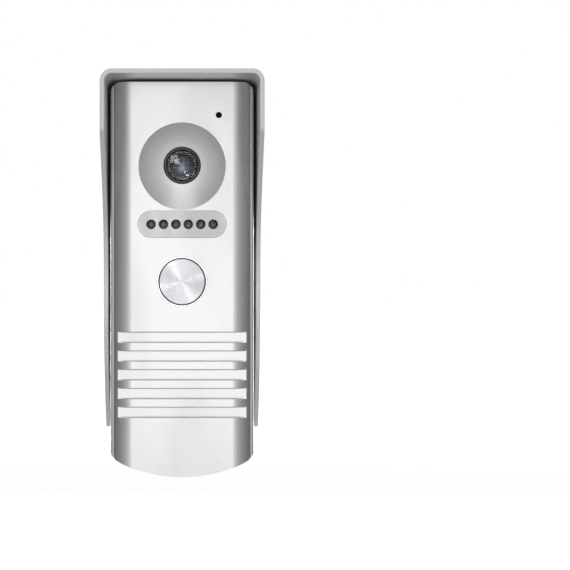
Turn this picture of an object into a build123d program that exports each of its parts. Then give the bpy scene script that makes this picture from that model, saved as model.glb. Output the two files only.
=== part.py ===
from build123d import *
import os
from math import asin, cos, degrees, radians, sin, sqrt, tan

# Door station of a video intercom: a camera, a call button and a speaker in a slim unit under a rain hood.
# Sizes are in millimetres. +X is to the viewer's right, +Y goes into the wall and +Z is up. The origin is on
# the wall, midway between the two wall screws. A depth is measured off the wall, so depth d is at y = -d.

# ---- Rain hood ----
hood_width = 56.0
hood_top = 66.3
hood_depth = 48.4
hood_wall = 1.65
hood_corner_radius = 4.1
plate_thickness = 2.1
plate_bottom = -66.3
tab_width = 38.0
tab_edge_radius = 0.9
rim_edge_radius = 0.3
# Each cheek narrows from the brow to the plate by a slope, a flare, a short straight and a long lower arc.
cheek_depth = 20.1
flare_radius = 52.7
flare_angle = 40.9
flare_bottom = -7.0
lower_arc_top = -14.0
lower_arc_radius = 68.0
cheek_bottom = -59.4
brow_corner_radius = 3.5

# ---- Wall fixing ----
wall_screw_spacing = 83.5
wall_screw_radius = 2.25
cable_hole_radius = 14.0
hook_width = 8.0
hook_spacing = 28.0
hook_height = 46.0
hook_thickness = 1.6
hook_lip = 3.5
hook_clearance = 0.5

# ---- Unit ----
side_gap = 1.2
top_gap = 0.95
unit_bottom = -74.2
unit_depth = 32.1
unit_corner_radius = 3.3
bottom_arc_radius = 50.9
bottom_corner_radius = 4.0
flank_radius = 7.0
flank_width = 6.3
ledge_radius = 1.05
wall = 2.3
rim_wall = 1.2
least_radius = 0.8

# ---- Grooves and the louvres hidden in them ----
groove_count = 5
groove_pitch = 6.55
groove_height = 3.3
groove_depth = 1.8
groove_edge_radius = 0.4
groove_middle = -38.5
louvre_height = 0.9
louvre_skin = 1.0
louvre_least_width = 5.0

# ---- Rear cover ----
cover_gap = 3.5
cover_thickness = 2.0
cover_clearance = 0.15
gasket_thickness = 0.8
shelf_height = -58.2
pocket_wall = 1.2

# ---- Security screw from below ----
lug_width = 9.0
lug_depth = 9.0
lug_height = 6.0
security_depth = 6.0
security_screw_radius = 1.5
security_screw_length = 10.7
security_head_radius = 2.75
security_head_height = 1.8
security_boss_radius = 3.8
security_boss_height = 5.7
security_recess = 2.2
security_clearance = 0.25

# ---- Camera ----
camera_height = 34.3
bezel_radius = 15.2
bezel_step = 0.35
bezel_dome_radius = 39.5
bezel_spigot_radius = 8.8
bezel_spigot_length = 4.0
bezel_bore_radius = 7.0
bezel_seal_inner = 10.5
bezel_seal_outer = 13.2
bezel_seal_thickness = 0.5
retainer_radius = 10.3
retainer_thickness = 1.0
lens_ring_radius = 6.5
lens_ring_inner = 5.25
lens_ring_rise = 3.2
lens_ring_chamfer = 0.3
window_sink = 0.2
window_ledge = 0.6
window_ledge_radius = 4.9
window_seal_thickness = 0.4
window_flange_radius = 5.8
window_flange_thickness = 0.8
window_radius = 5.15
window_rise = 1.8
window_dome = 1.1
window_thickness = 0.9
window_fit = 0.05
lens_gap = 0.2
lens_radius = 6.0
lens_back_focus = 1.2
lens_throat_radius = 3.2
front_lens_radius = 4.4
front_lens_edge = 1.0
front_lens_dome = 1.0
front_lens_sink = 1.6
rear_lens_thickness = 1.0
lip_width = 0.8
lip_depth = 0.5
holder_width = 16.0
holder_base = 2.4
holder_wall = 1.6
holder_height = 8.6
sensor_width = 7.0
sensor_thickness = 1.0
camera_board_size = (30.0, 20.0)
camera_board_thickness = 1.2
camera_screw_side = 12.5
camera_connector_size = (12.0, 3.0)
camera_connector_height = 1.6
camera_connector_drop = 6.5

# ---- Infra-red lamps ----
ir_height = 14.0
ir_plate_length = 30.7
ir_plate_width = 9.2
ir_plate_thickness = 1.2
ir_plate_gap = 0.2
ir_plate_sink = 0.1
ir_count = 6
ir_pitch = 4.33
ir_hole_radius = 1.7
ir_lamp_radius = 1.5
ir_lamp_sink = 0.2
ir_lamp_height = 5.3
ir_flange_radius = 1.9
ir_flange_height = 1.0
ir_lead_width = 0.5
ir_lead_spacing = 1.27
ir_lead_length = 1.1
ir_board_height = 8.0
ir_board_thickness = 1.2
ir_board_overhang = 2.0
ir_screw_side = 19.0
ir_header_side = 13.0
ir_header_height = 2.5
ir_pin_width = 0.64
ir_pin_pitch = 2.54
ir_pin_count = 3

# ---- Microphone ----
mic_side = 12.8
mic_height = 52.1
mic_hole_radius = 1.1
mic_radius = 3.0
mic_thickness = 2.7
boot_wall = 1.0
boot_length = 5.3

# ---- Call button ----
button_height = -6.0
button_radius = 8.0
button_proud = 0.8
button_thickness = 1.8
button_edge_radius = 0.3
button_ring_gap = 0.25
button_ring_width = 0.55
button_ring_proud = 0.3
button_ring_edge = 0.12
button_travel = 0.6
seal_thickness = 0.9
seal_clearance = 0.3
seal_margin = 0.4
flange_overlap = 0.6
flange_thickness = 1.4
stem_radius = 2.5
running_fit = 0.05
tip_gap = 0.02
spring_length = 4.4
spring_wire_radius = 0.35
spring_radius = 4.2
spring_turns = 3.5
guide_height = 10.0
guide_thickness = 1.2
guide_sleeve_wall = 1.4
guide_sleeve_length = 2.5
guide_screw_margin = 4.6
guide_end_margin = 2.4

# ---- Long-travel switch under the button ----
switch_width = 6.0
switch_thickness = 3.5
switch_stem_radius = 1.75
switch_stem_proud = 1.9
switch_stem_depth = 2.1
switch_well_spare = 0.3

# ---- Main board ----
board_gap = 6.4
board_thickness = 1.6
board_side_gap = 1.35
board_top = 51.5
board_bottom = -25.0
board_corner_radius = 1.5
connector_size = (5.0, 4.0)
connector_height = 4.0
mic_connector_drop = 3.2
speaker_connector_rise = 3.0
chip_height = 1.4
chip_sizes = {(-9.0, 27.0): (12.0, 12.0), (9.0, 25.0): (8.0, 6.0), (-14.0, 12.0): (5.0, 7.0)}
capacitor_height = 5.5
capacitor_radii = {(-14.0, -16.0): 3.1, (-6.5, -17.0): 2.5}
capacitor_edge_radius = 0.4

# ---- Terminals at the back ----
terminal_count = 4
terminal_pitch = 5.08
terminal_end_wall = 0.5
terminal_height = 8.6
terminal_proud = 1.6
terminal_clearance = 0.3
terminal_screw_radius = 1.6
terminal_screw_length = 3.0
terminal_screw_sink = 0.8
terminal_entry_radius = 1.3
terminal_entry_depth = 6.0
terminal_row_offset = 2.0

# ---- Volume trimmer ----
volume_place = (12.0, -17.0)
volume_width = 6.0
volume_thickness = 3.5
volume_rotor_radius = 2.2
volume_rotor_thickness = 0.9
volume_shaft_radius = 1.0
volume_shaft_length = 1.6
volume_hole_radius = 2.0
plug_head_radius = 3.2
plug_head_thickness = 0.9
plug_barb_radius = 2.3
plug_barb_length = 0.7

# ---- Speaker ----
speaker_radius = 14.0
speaker_ear_side = 17.6
speaker_ear_radius = 2.4
speaker_flange_inner = 12.2
speaker_flange_thickness = 1.0
speaker_wall = 0.8
speaker_depth = 4.2
speaker_seal_inner = 12.7
speaker_seal_thickness = 0.7
cloth_radius = 13.5
film = 0.3
cone_lip_outer = 10.9
cone_lip_inner = 10.3
cone_neck = 6.2
cone_dome_radius = 5.3
cone_drop = 2.3
cone_dome_rise = 1.4
roll_radius = 0.65
coil_radius = 5.6
coil_thickness = 0.4
coil_length = 3.4
pole_radius = 5.2
pole_thickness = 1.0
magnet_thickness = 2.2
yoke_radius = 7.6
yoke_wall = 1.0
basket_hole_radius = 1.7
basket_hole_count = 8
pad_size = (4.0, 2.4)
pad_rise = 10.4
pad_thickness = 0.6

# ---- Wires ----
wire_radius = 0.5
wire_spacing = 1.6
wire_bend = 2.4

# ---- Screws ----
fine_screw = {"shank": 1.0, "head": 1.9, "head_height": 1.3}
cover_screw = {"shank": 1.3, "head": 2.6, "head_height": 1.6}
cover_screw_inset = 4.35
board_screw_side_inset = 3.0
board_screw_end_inset = 4.0
screw_slot_width = 0.6
screw_slot_share = 0.75
screw_slot_depth = 0.7
screw_edge_radius = 0.3
screw_clearance = 0.2

# ---- What follows from those sizes ----
unit_half_width = hood_width / 2 - hood_wall - side_gap
unit_top = hood_top - hood_wall - top_gap
unit_back = plate_thickness
unit_front = unit_back + unit_depth
wall_inside = unit_front - wall
unit_height = unit_top - unit_bottom
inner_half_width = unit_half_width - wall
flat_half_width = unit_half_width - ledge_radius - flank_width
flank_angle = degrees(asin(flank_width / flank_radius))
shelf_top = shelf_height + wall
groove_floor = unit_front - groove_depth
groove_heights = [groove_middle + (i - (groove_count - 1) / 2) * groove_pitch for i in range(groove_count)]
backing_inside = groove_floor - wall
backing_top = groove_heights[-1] + groove_height / 2 + wall
cover_back = unit_back + cover_gap
cover_front = cover_back + cover_thickness
gasket_seat = cover_front + gasket_thickness
board_half_width = inner_half_width - board_side_gap
board_back = cover_front + board_gap
board_front = board_back + board_thickness
camera_board_back = board_front + camera_connector_height
camera_board_front = camera_board_back + camera_board_thickness
window_seat = unit_front - window_sink
window_base = window_seat + window_seal_thickness
window_shoulder = window_base + window_flange_thickness
lens_front = window_seat - window_ledge - lens_gap
lens_back = camera_board_front + lens_back_focus
ir_tip = unit_front - ir_lamp_sink
ir_lamp_back = ir_tip - ir_lamp_height
ir_board_front = ir_lamp_back - ir_lead_length
ir_board_back = ir_board_front - ir_board_thickness
ir_sides = [(i - (ir_count - 1) / 2) * ir_pitch for i in range(ir_count)]
button_front = unit_front + button_proud
button_back = button_front - button_thickness
ring_inner = button_radius + button_ring_gap
ring_outer = ring_inner + button_ring_width
flange_radius = ring_outer + flange_overlap
flange_front = wall_inside - seal_thickness
flange_back = flange_front - flange_thickness
neck_radius = button_radius - button_ring_gap
guide_front = flange_back - spring_length
guide_back = guide_front - guide_thickness
guide_side = flange_radius + guide_screw_margin
switch_top = board_front + switch_thickness
switch_tip = switch_top + switch_stem_proud
terminal_face = cover_back - terminal_proud
terminal_width = terminal_count * terminal_pitch + 2 * terminal_end_wall
terminal_sides = [(i - (terminal_count - 1) / 2) * terminal_pitch for i in range(terminal_count)]
cloth_back = backing_inside - film
speaker_seal_back = cloth_back - speaker_seal_thickness
speaker_flange_front = speaker_seal_back - film
speaker_flange_back = speaker_flange_front - speaker_flange_thickness
basket_back = speaker_flange_back - speaker_depth
pole_front = basket_back + speaker_flange_thickness
pole_back = pole_front - pole_thickness
magnet_back = pole_back - magnet_thickness
cone_back = speaker_flange_front - film - cone_drop

# Each fixing has screws at places (across, up), driven from behind. The grip is what each screw clamps and
# the bite is its length in the boss, which stands on the front wall.
fixings = {
    "cover": {
        "places": [
            (side * (inner_half_width - cover_screw_inset), height)
            for side in (-1, 1)
            for height in (unit_top - wall - cover_screw_inset, shelf_top + cover_screw_inset)
        ],
        "seat": cover_back,
        "grip": cover_thickness,
        "bite": 6.0,
        "boss": 3.0,
        "screw": cover_screw,
    },
    "board": {
        "places": [
            (side * (board_half_width - board_screw_side_inset), height)
            for side in (-1, 1)
            for height in (board_top - board_screw_end_inset, board_bottom + board_screw_end_inset)
        ],
        "seat": board_back,
        "grip": board_thickness,
        "bite": 5.0,
        "boss": 2.5,
        "screw": fine_screw,
    },
    "camera": {
        "places": [(side * camera_screw_side, camera_height) for side in (-1, 1)],
        "seat": camera_board_back,
        "grip": camera_board_thickness,
        "bite": 4.0,
        "boss": 2.0,
        "screw": fine_screw,
    },
    "ir": {
        "places": [(side * ir_screw_side, ir_height) for side in (-1, 1)],
        "seat": ir_board_back,
        "grip": ir_board_thickness,
        "bite": 2.6,
        "boss": 1.9,
        "screw": fine_screw,
    },
    "guide": {
        "places": [(side * guide_side, button_height) for side in (-1, 1)],
        "seat": guide_back,
        "grip": guide_thickness,
        "bite": 4.0,
        "boss": 2.2,
        "screw": fine_screw,
    },
    "speaker": {
        "places": [(side * speaker_ear_side, groove_middle) for side in (-1, 1)],
        "seat": speaker_flange_back,
        "grip": speaker_flange_thickness,
        "bite": 2.2,
        "boss": speaker_ear_radius,
        "screw": fine_screw,
    },
}


def at_depth(depth):
    """The upright plane at a depth off the wall, facing the viewer, with x across and y up."""
    return Plane.XZ.offset(depth)


def turning_plane(side, height):
    """The level plane through a turned piece's centre, with x as the radius and y as the depth."""
    return Plane(origin=(side, 0, height), x_dir=(1, 0, 0), z_dir=(0, 0, -1))


def turning_axis(side, height):
    """The axis of a turned piece, pointing at the viewer."""
    return Axis((side, 0, height), (0, -1, 0))


def unit_outline(inset):
    """The unit's outline from the front, moved inwards by inset: rounded shoulders and an arched foot."""
    half_width = unit_half_width - inset
    arc_radius = bottom_arc_radius - inset
    foot = unit_bottom + bottom_arc_radius - sqrt(arc_radius**2 - half_width**2)
    top = unit_top - inset
    with BuildSketch(Plane.XY) as outline:
        with BuildLine():
            ThreePointArc((-half_width, foot), (0, unit_bottom + inset), (half_width, foot))
            Polyline((half_width, foot), (half_width, top), (-half_width, top), (-half_width, foot))
        make_face()
        fillet(outline.vertices().group_by(Axis.Y)[-1], max(unit_corner_radius - inset, least_radius))
        fillet(outline.vertices().group_by(Axis.Y)[0], max(bottom_corner_radius - inset, least_radius))
    return outline.sketch


def chamber_outline(inset):
    """The outline of the sealed chamber's walls from the front, moved inwards by inset."""
    bottom = shelf_height + inset
    with BuildSketch(Plane.XY) as outline:
        with Locations((0, bottom)):
            Rectangle(
                2 * (unit_half_width - inset), unit_top - inset - bottom, align=(Align.CENTER, Align.MIN)
            )
        fillet(outline.vertices().group_by(Axis.Y)[-1], max(unit_corner_radius - inset, least_radius))
        fillet(outline.vertices().group_by(Axis.Y)[0], least_radius)
    return outline.sketch


def level_section(inset):
    """The unit's level section, moved inwards by inset: a flat front, curved flanks and rounded ledges."""
    side = unit_half_width - inset
    with BuildSketch(Plane.XY) as section:
        with BuildLine():
            face = Line((0, inset - unit_front), (flat_half_width, inset - unit_front))
            flank = JernArc(face @ 1, (1, 0), flank_radius - inset, flank_angle)
            ledge = JernArc(flank @ 1, (1, 0), side - (flank @ 1).X, 90)
            Polyline(ledge @ 1, (side, 0), (0, 0))
            mirror(about=Plane.YZ)
        make_face()
    return section.sketch


def screws_of(fixing):
    """A fixing's pan-head screws, slotted, with their heads towards the wall."""
    screw = fixing["screw"]
    head_back = fixing["seat"] - screw["head_height"]
    with BuildPart() as screws:
        with BuildSketch(at_depth(fixing["seat"])):
            with Locations(*fixing["places"]):
                Circle(screw["shank"])
        extrude(amount=fixing["grip"] + fixing["bite"])
        with BuildSketch(at_depth(head_back)):
            with Locations(*fixing["places"]):
                Circle(screw["head"])
        extrude(amount=screw["head_height"])
        fillet(screws.faces().sort_by(Axis.Y)[-len(fixing["places"]) :].edges(), screw_edge_radius)
        with BuildSketch(at_depth(head_back)):
            with Locations(*fixing["places"]):
                Rectangle(2 * screw["head"] * screw_slot_share, screw_slot_width)
        extrude(amount=screw_slot_depth, mode=Mode.SUBTRACT)
    return screws.part


def wires_between(middle, corners):
    """Two wires side by side, each along runs through corners (depth, up) joined by one bend."""
    with BuildPart() as wires:
        for side in (middle - wire_spacing / 2, middle + wire_spacing / 2):
            with BuildLine() as route:
                FilletPolyline(*[(side, -depth, height) for depth, height in corners], radius=wire_bend)
            with BuildSketch(Plane(origin=route.line @ 0, z_dir=route.line % 0)) as section:
                Circle(wire_radius)
            sweep(section.sketch, path=route.line)
    return wires.part


# ---- Rain hood: a roof and two cheeks on a plate that screws to the wall ----
flare_end_depth = cheek_depth + flare_radius * (1 - cos(radians(flare_angle)))
flare_end_height = flare_bottom + flare_radius * sin(radians(flare_angle))
slope_top = flare_end_height + (hood_depth - flare_end_depth) / tan(radians(flare_angle))
lower_arc_angle = degrees(asin((lower_arc_top - cheek_bottom) / lower_arc_radius))
hook_depth = cover_front + hook_clearance + hook_thickness

with BuildPart() as rain_hood:
    with BuildSketch(at_depth(0)):
        with Locations((0, cheek_bottom)):
            outer = Rectangle(hood_width, hood_top - cheek_bottom, align=(Align.CENTER, Align.MIN))
        fillet(outer.vertices().group_by(Axis.Y)[-1], hood_corner_radius)
        offset(amount=-hood_wall, mode=Mode.SUBTRACT, kind=Kind.INTERSECTION)
        with Locations((0, cheek_bottom)):
            Rectangle(hood_width - 2 * hood_wall, 3 * hood_wall, mode=Mode.SUBTRACT)
    extrude(amount=hood_depth)
    with BuildSketch(Plane.YZ):
        with BuildLine():
            flare = JernArc((-cheek_depth, flare_bottom), (0, 1), flare_radius, flare_angle)
            Polyline(flare @ 1, (-hood_depth, slope_top), (-hood_depth, hood_top), (0, hood_top))
            lower = JernArc((-cheek_depth, lower_arc_top), (0, -1), lower_arc_radius, lower_arc_angle)
            Line(lower @ 0, flare @ 0)
            Polyline(lower @ 1, (0, cheek_bottom), (0, hood_top))
        silhouette = make_face()
        fillet(silhouette.vertices().sort_by_distance((-hood_depth, slope_top, 0))[0], brow_corner_radius)
    extrude(amount=hood_width / 2, both=True, mode=Mode.INTERSECT)
    rim = rain_hood.faces().filter_by(lambda face: face.normal_at().Y < -rim_edge_radius)
    fillet(rim.edges().filter_by(lambda edge: edge.length > 2 * hood_wall), rim_edge_radius)
    with BuildSketch(at_depth(0)):
        with Locations((0, cheek_bottom)):
            plate = Rectangle(hood_width, hood_top - cheek_bottom, align=(Align.CENTER, Align.MIN))
        fillet(plate.vertices().group_by(Axis.Y)[-1], hood_corner_radius)
        with Locations((0, plate_bottom)):
            Rectangle(tab_width, cheek_bottom - plate_bottom, align=(Align.CENTER, Align.MIN))
    extrude(amount=plate_thickness)
    tab_edges = rain_hood.edges().filter_by(Axis.X).group_by(Axis.Z)[0]
    fillet(tab_edges.sort_by(Axis.Y)[-1], tab_edge_radius)
    with BuildSketch(at_depth(plate_thickness)):
        with Locations((0, plate_bottom)):
            Rectangle(lug_width, lug_height, align=(Align.CENTER, Align.MIN))
    extrude(amount=lug_depth - plate_thickness)
    with BuildSketch(at_depth(plate_thickness)):
        with Locations((-hook_spacing / 2, hook_height), (hook_spacing / 2, hook_height)):
            Rectangle(hook_width, hook_thickness, align=(Align.CENTER, Align.MAX))
    extrude(amount=hook_depth - plate_thickness)
    with BuildSketch(at_depth(hook_depth)):
        with Locations((-hook_spacing / 2, hook_height), (hook_spacing / 2, hook_height)):
            Rectangle(hook_width, hook_lip, align=(Align.CENTER, Align.MIN))
    extrude(amount=-hook_thickness)
    with BuildSketch(at_depth(0)):
        with Locations((0, -wall_screw_spacing / 2), (0, wall_screw_spacing / 2)):
            Circle(wall_screw_radius)
        Circle(cable_hole_radius)
    extrude(amount=plate_thickness, mode=Mode.SUBTRACT)
    with BuildSketch(Plane.XY.offset(plate_bottom)):
        with Locations((0, -security_depth)):
            Circle(security_screw_radius)
    extrude(amount=lug_height, mode=Mode.SUBTRACT)

# ---- Rear cover, gasket and the screws that close the unit ----
slot_height = hook_lip + hook_thickness + hook_clearance
slot_width = hook_width + 2 * hook_clearance
pocket_height = slot_height + hook_lip + hook_clearance
pocket_depth = hook_thickness + 2 * hook_clearance
slot_places = [(side * hook_spacing / 2, hook_height - slot_height) for side in (-1, 1)]

with BuildPart() as rear_cover:
    with BuildSketch(at_depth(cover_back)):
        add(chamber_outline(rim_wall + cover_clearance))
    extrude(amount=cover_thickness)
    with BuildSketch(at_depth(cover_front)):
        with Locations(*[(side, height - pocket_wall) for side, height in slot_places]):
            Rectangle(
                slot_width + 2 * pocket_wall, pocket_height + 2 * pocket_wall, align=(Align.CENTER, Align.MIN)
            )
    extrude(amount=pocket_depth + pocket_wall)
    with BuildSketch(at_depth(cover_front)):
        with Locations(*slot_places):
            Rectangle(slot_width, pocket_height, align=(Align.CENTER, Align.MIN))
    extrude(amount=pocket_depth, mode=Mode.SUBTRACT)
    with BuildSketch(at_depth(cover_back)):
        with Locations(*slot_places):
            Rectangle(slot_width, slot_height, align=(Align.CENTER, Align.MIN))
        Rectangle(terminal_width + 2 * terminal_clearance, terminal_height + 2 * terminal_clearance)
        with Locations(volume_place):
            Circle(volume_hole_radius)
        with Locations(*fixings["cover"]["places"]):
            Circle(cover_screw["shank"] + screw_clearance)
    extrude(amount=cover_thickness, mode=Mode.SUBTRACT)

with BuildPart() as cover_gasket:
    with BuildSketch(at_depth(cover_front)):
        add(chamber_outline(rim_wall + cover_clearance))
        add(chamber_outline(wall), mode=Mode.SUBTRACT)
    extrude(amount=gasket_thickness)

with BuildPart() as cover_screws:
    add(screws_of(fixings["cover"]))

# ---- Front housing ----
with BuildPart() as chamber_core:
    with BuildSketch(at_depth(cover_front)):
        add(chamber_outline(wall))
    extrude(amount=wall_inside - cover_front)
    with BuildSketch(Plane.XY.offset(shelf_height)):
        add(level_section(wall))
    extrude(amount=unit_top - shelf_height, mode=Mode.INTERSECT)
    with BuildSketch(at_depth(backing_inside)):
        with Locations((0, backing_top)):
            Rectangle(hood_width, backing_top - shelf_height, align=(Align.CENTER, Align.MAX))
    extrude(amount=groove_depth, mode=Mode.SUBTRACT)

with BuildPart() as bay_core:
    with BuildSketch(at_depth(unit_back)):
        add(unit_outline(wall))
        with Locations((0, shelf_height)):
            Rectangle(hood_width, unit_height, align=(Align.CENTER, Align.MIN), mode=Mode.SUBTRACT)
    extrude(amount=wall_inside - unit_back)
    with BuildSketch(Plane.XY.offset(unit_bottom)):
        add(level_section(wall))
    extrude(amount=shelf_height - unit_bottom, mode=Mode.INTERSECT)

louvres = []
for height in groove_heights:
    slot_bottom = height + groove_height / 2
    reach = max(abs(slot_bottom - groove_middle), abs(slot_bottom + louvre_height - groove_middle))
    half_chord = sqrt(max(speaker_flange_inner**2 - reach**2, 0))
    if 2 * half_chord > louvre_least_width:
        louvres.append((slot_bottom, 2 * half_chord))

with BuildPart() as front_housing:
    with BuildSketch(at_depth(unit_back)):
        add(unit_outline(0))
    extrude(amount=unit_depth)
    with BuildSketch(Plane.XY.offset(unit_bottom)):
        add(level_section(0))
    extrude(amount=unit_height, mode=Mode.INTERSECT)
    with BuildSketch(at_depth(groove_floor)):
        with Locations(*[(0, height) for height in groove_heights]):
            Rectangle(hood_width, groove_height)
    extrude(amount=2 * groove_depth, mode=Mode.SUBTRACT)
    lips = front_housing.edges().filter_by_position(Axis.Y, -unit_front, -groove_floor - groove_depth / 4)
    lowest_lip, highest_lip = groove_heights[0] - groove_height, groove_heights[-1] + groove_height
    lips = lips.filter_by_position(Axis.Z, lowest_lip, highest_lip)
    fillet(lips.filter_by(lambda edge: edge.bounding_box().size.Z < least_radius), groove_edge_radius)
    add(chamber_core.part, mode=Mode.SUBTRACT)
    add(bay_core.part, mode=Mode.SUBTRACT)
    with BuildSketch(at_depth(unit_back)):
        add(chamber_outline(rim_wall))
    extrude(amount=gasket_seat - unit_back, mode=Mode.SUBTRACT)
    for slot_bottom, slot_length in louvres:
        with BuildSketch(at_depth(backing_inside)):
            with Locations((0, slot_bottom)):
                Rectangle(slot_length, louvre_height, align=(Align.CENTER, Align.MIN))
        extrude(amount=unit_front - louvre_skin - backing_inside, mode=Mode.SUBTRACT)
    with BuildSketch(at_depth(unit_front)):
        with Locations((0, camera_height)):
            Circle(bezel_spigot_radius)
        with Locations((0, button_height)):
            Circle(ring_outer)
        with Locations((mic_side, mic_height)):
            Circle(mic_hole_radius)
        with Locations(*[(side, ir_height) for side in ir_sides]):
            Circle(ir_hole_radius)
    extrude(amount=-wall, mode=Mode.SUBTRACT)
    with BuildSketch(at_depth(unit_front)):
        with Locations((0, ir_height)):
            SlotOverall(ir_plate_length + 2 * ir_plate_gap, ir_plate_width + 2 * ir_plate_gap)
    extrude(amount=-ir_plate_thickness - ir_plate_sink, mode=Mode.SUBTRACT)
    for fixing in fixings.values():
        boss_back = fixing["seat"] + fixing["grip"]
        with BuildSketch(at_depth(boss_back)):
            with Locations(*fixing["places"]):
                Circle(fixing["boss"])
        extrude(amount=wall_inside - boss_back)
        with BuildSketch(at_depth(boss_back)):
            with Locations(*fixing["places"]):
                Circle(fixing["screw"]["shank"])
        extrude(amount=fixing["bite"], mode=Mode.SUBTRACT)
    with BuildSketch(Plane.XY.offset(unit_bottom + security_boss_height)):
        with Locations((0, -security_depth)):
            Circle(security_boss_radius)
    extrude(amount=wall / 2 - security_boss_height)
    with BuildSketch(Plane.XY.offset(unit_bottom)):
        with Locations((0, -security_depth)):
            Circle(security_screw_radius + screw_clearance)
    extrude(amount=security_boss_height, mode=Mode.SUBTRACT)
    with BuildSketch(Plane.XY.offset(unit_bottom)):
        with Locations((0, -security_depth)):
            Circle(security_head_radius + security_clearance)
    extrude(amount=security_recess, mode=Mode.SUBTRACT)

with BuildPart() as security_screw:
    with BuildSketch(Plane.XY.offset(unit_bottom + security_recess)):
        with Locations((0, -security_depth)):
            Circle(security_screw_radius)
    extrude(amount=security_screw_length)
    with BuildSketch(Plane.XY.offset(unit_bottom + security_recess)):
        with Locations((0, -security_depth)):
            Circle(security_head_radius)
    extrude(amount=-security_head_height)
    fillet(security_screw.faces().sort_by(Axis.Z)[0].edges(), screw_edge_radius)
    with BuildSketch(Plane.XY.offset(unit_bottom + security_recess - security_head_height)):
        with Locations((0, -security_depth)):
            Rectangle(2 * security_head_radius * screw_slot_share, screw_slot_width)
            Rectangle(screw_slot_width, 2 * security_head_radius * screw_slot_share)
    extrude(amount=screw_slot_depth, mode=Mode.SUBTRACT)

# ---- Camera, from the bezel back to its board ----
camera_axis = turning_axis(0, camera_height)
dome_base = unit_front + bezel_step
dome_centre = dome_base - sqrt(bezel_dome_radius**2 - bezel_radius**2)
dome_lip = dome_centre + sqrt(bezel_dome_radius**2 - lens_ring_radius**2)
dome_middle_radius = (bezel_radius + lens_ring_radius) / 2
dome_middle = dome_centre + sqrt(bezel_dome_radius**2 - dome_middle_radius**2)
spigot_back = unit_front - bezel_spigot_length
ring_front = unit_front + lens_ring_rise - window_sink
inner_window_radius = window_radius - window_thickness

with BuildPart() as camera_bezel:
    with BuildSketch(turning_plane(0, camera_height)):
        with BuildLine():
            dome = ThreePointArc(
                (bezel_radius, dome_base), (dome_middle_radius, dome_middle), (lens_ring_radius, dome_lip)
            )
            Polyline(
                dome @ 1,
                (lens_ring_radius, window_seat),
                (window_ledge_radius, window_seat),
                (window_ledge_radius, window_seat - window_ledge),
                (bezel_bore_radius, window_seat - window_ledge),
                (bezel_bore_radius, spigot_back),
                (bezel_spigot_radius, spigot_back),
                (bezel_spigot_radius, unit_front),
                (bezel_seal_inner, unit_front),
                (bezel_seal_inner, unit_front + bezel_seal_thickness),
                (bezel_seal_outer, unit_front + bezel_seal_thickness),
                (bezel_seal_outer, unit_front),
                (bezel_radius, unit_front),
                dome @ 0,
            )
        make_face()
    revolve(axis=camera_axis)

with BuildPart() as bezel_seal:
    with BuildSketch(at_depth(unit_front)):
        with Locations((0, camera_height)):
            Circle(bezel_seal_outer)
            Circle(bezel_seal_inner, mode=Mode.SUBTRACT)
    extrude(amount=bezel_seal_thickness)

with BuildPart() as bezel_retainer:
    with BuildSketch(at_depth(wall_inside - retainer_thickness)):
        with Locations((0, camera_height)):
            Circle(retainer_radius)
            Circle(bezel_spigot_radius, mode=Mode.SUBTRACT)
    extrude(amount=retainer_thickness)

with BuildPart() as lens_ring:
    with BuildSketch(turning_plane(0, camera_height)):
        with BuildLine():
            Polyline(
                (window_flange_radius + window_fit, window_seat),
                (lens_ring_radius, window_seat),
                (lens_ring_radius, ring_front - lens_ring_chamfer),
                (lens_ring_radius - lens_ring_chamfer, ring_front),
                (lens_ring_inner + lens_ring_chamfer, ring_front),
                (lens_ring_inner, ring_front - lens_ring_chamfer),
                (lens_ring_inner, window_shoulder + window_fit),
                (window_flange_radius + window_fit, window_shoulder + window_fit),
                close=True,
            )
        make_face()
    revolve(axis=camera_axis)

with BuildPart() as window_seal:
    with BuildSketch(at_depth(window_seat)):
        with Locations((0, camera_height)):
            Circle(window_flange_radius)
            Circle(window_ledge_radius, mode=Mode.SUBTRACT)
    extrude(amount=window_seal_thickness)

with BuildPart() as camera_window:
    with BuildSketch(turning_plane(0, camera_height)):
        with BuildLine():
            outside = SagittaArc(
                (window_radius, window_shoulder + window_rise),
                (-window_radius, window_shoulder + window_rise),
                -window_dome,
            )
            Polyline(
                outside @ 0,
                (window_radius, window_shoulder),
                (window_flange_radius, window_shoulder),
                (window_flange_radius, window_base),
                (-window_flange_radius, window_base),
                (-window_flange_radius, window_shoulder),
                (-window_radius, window_shoulder),
                outside @ 1,
            )
        make_face()
        with BuildLine():
            inside = SagittaArc(
                (inner_window_radius, window_shoulder + window_thickness),
                (-inner_window_radius, window_shoulder + window_thickness),
                -window_dome,
            )
            base_right, base_left = (inner_window_radius, window_base), (-inner_window_radius, window_base)
            Polyline(inside @ 0, base_right, base_left, inside @ 1)
        make_face(mode=Mode.SUBTRACT)
        split(bisect_by=Plane.YZ)
    revolve(axis=camera_axis)

with BuildPart() as lens_barrel:
    with BuildSketch(turning_plane(0, camera_height)):
        with BuildLine():
            Polyline(
                (lens_radius, lens_back),
                (lens_radius, lens_front),
                (lens_radius - lip_width, lens_front),
                (lens_radius - lip_width, lens_front - lip_depth),
                (front_lens_radius, lens_front - lip_depth),
                (front_lens_radius, lens_front - front_lens_sink),
                (lens_throat_radius, lens_front - front_lens_sink),
                (lens_throat_radius, lens_back),
                close=True,
            )
        make_face()
    revolve(axis=camera_axis)

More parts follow.
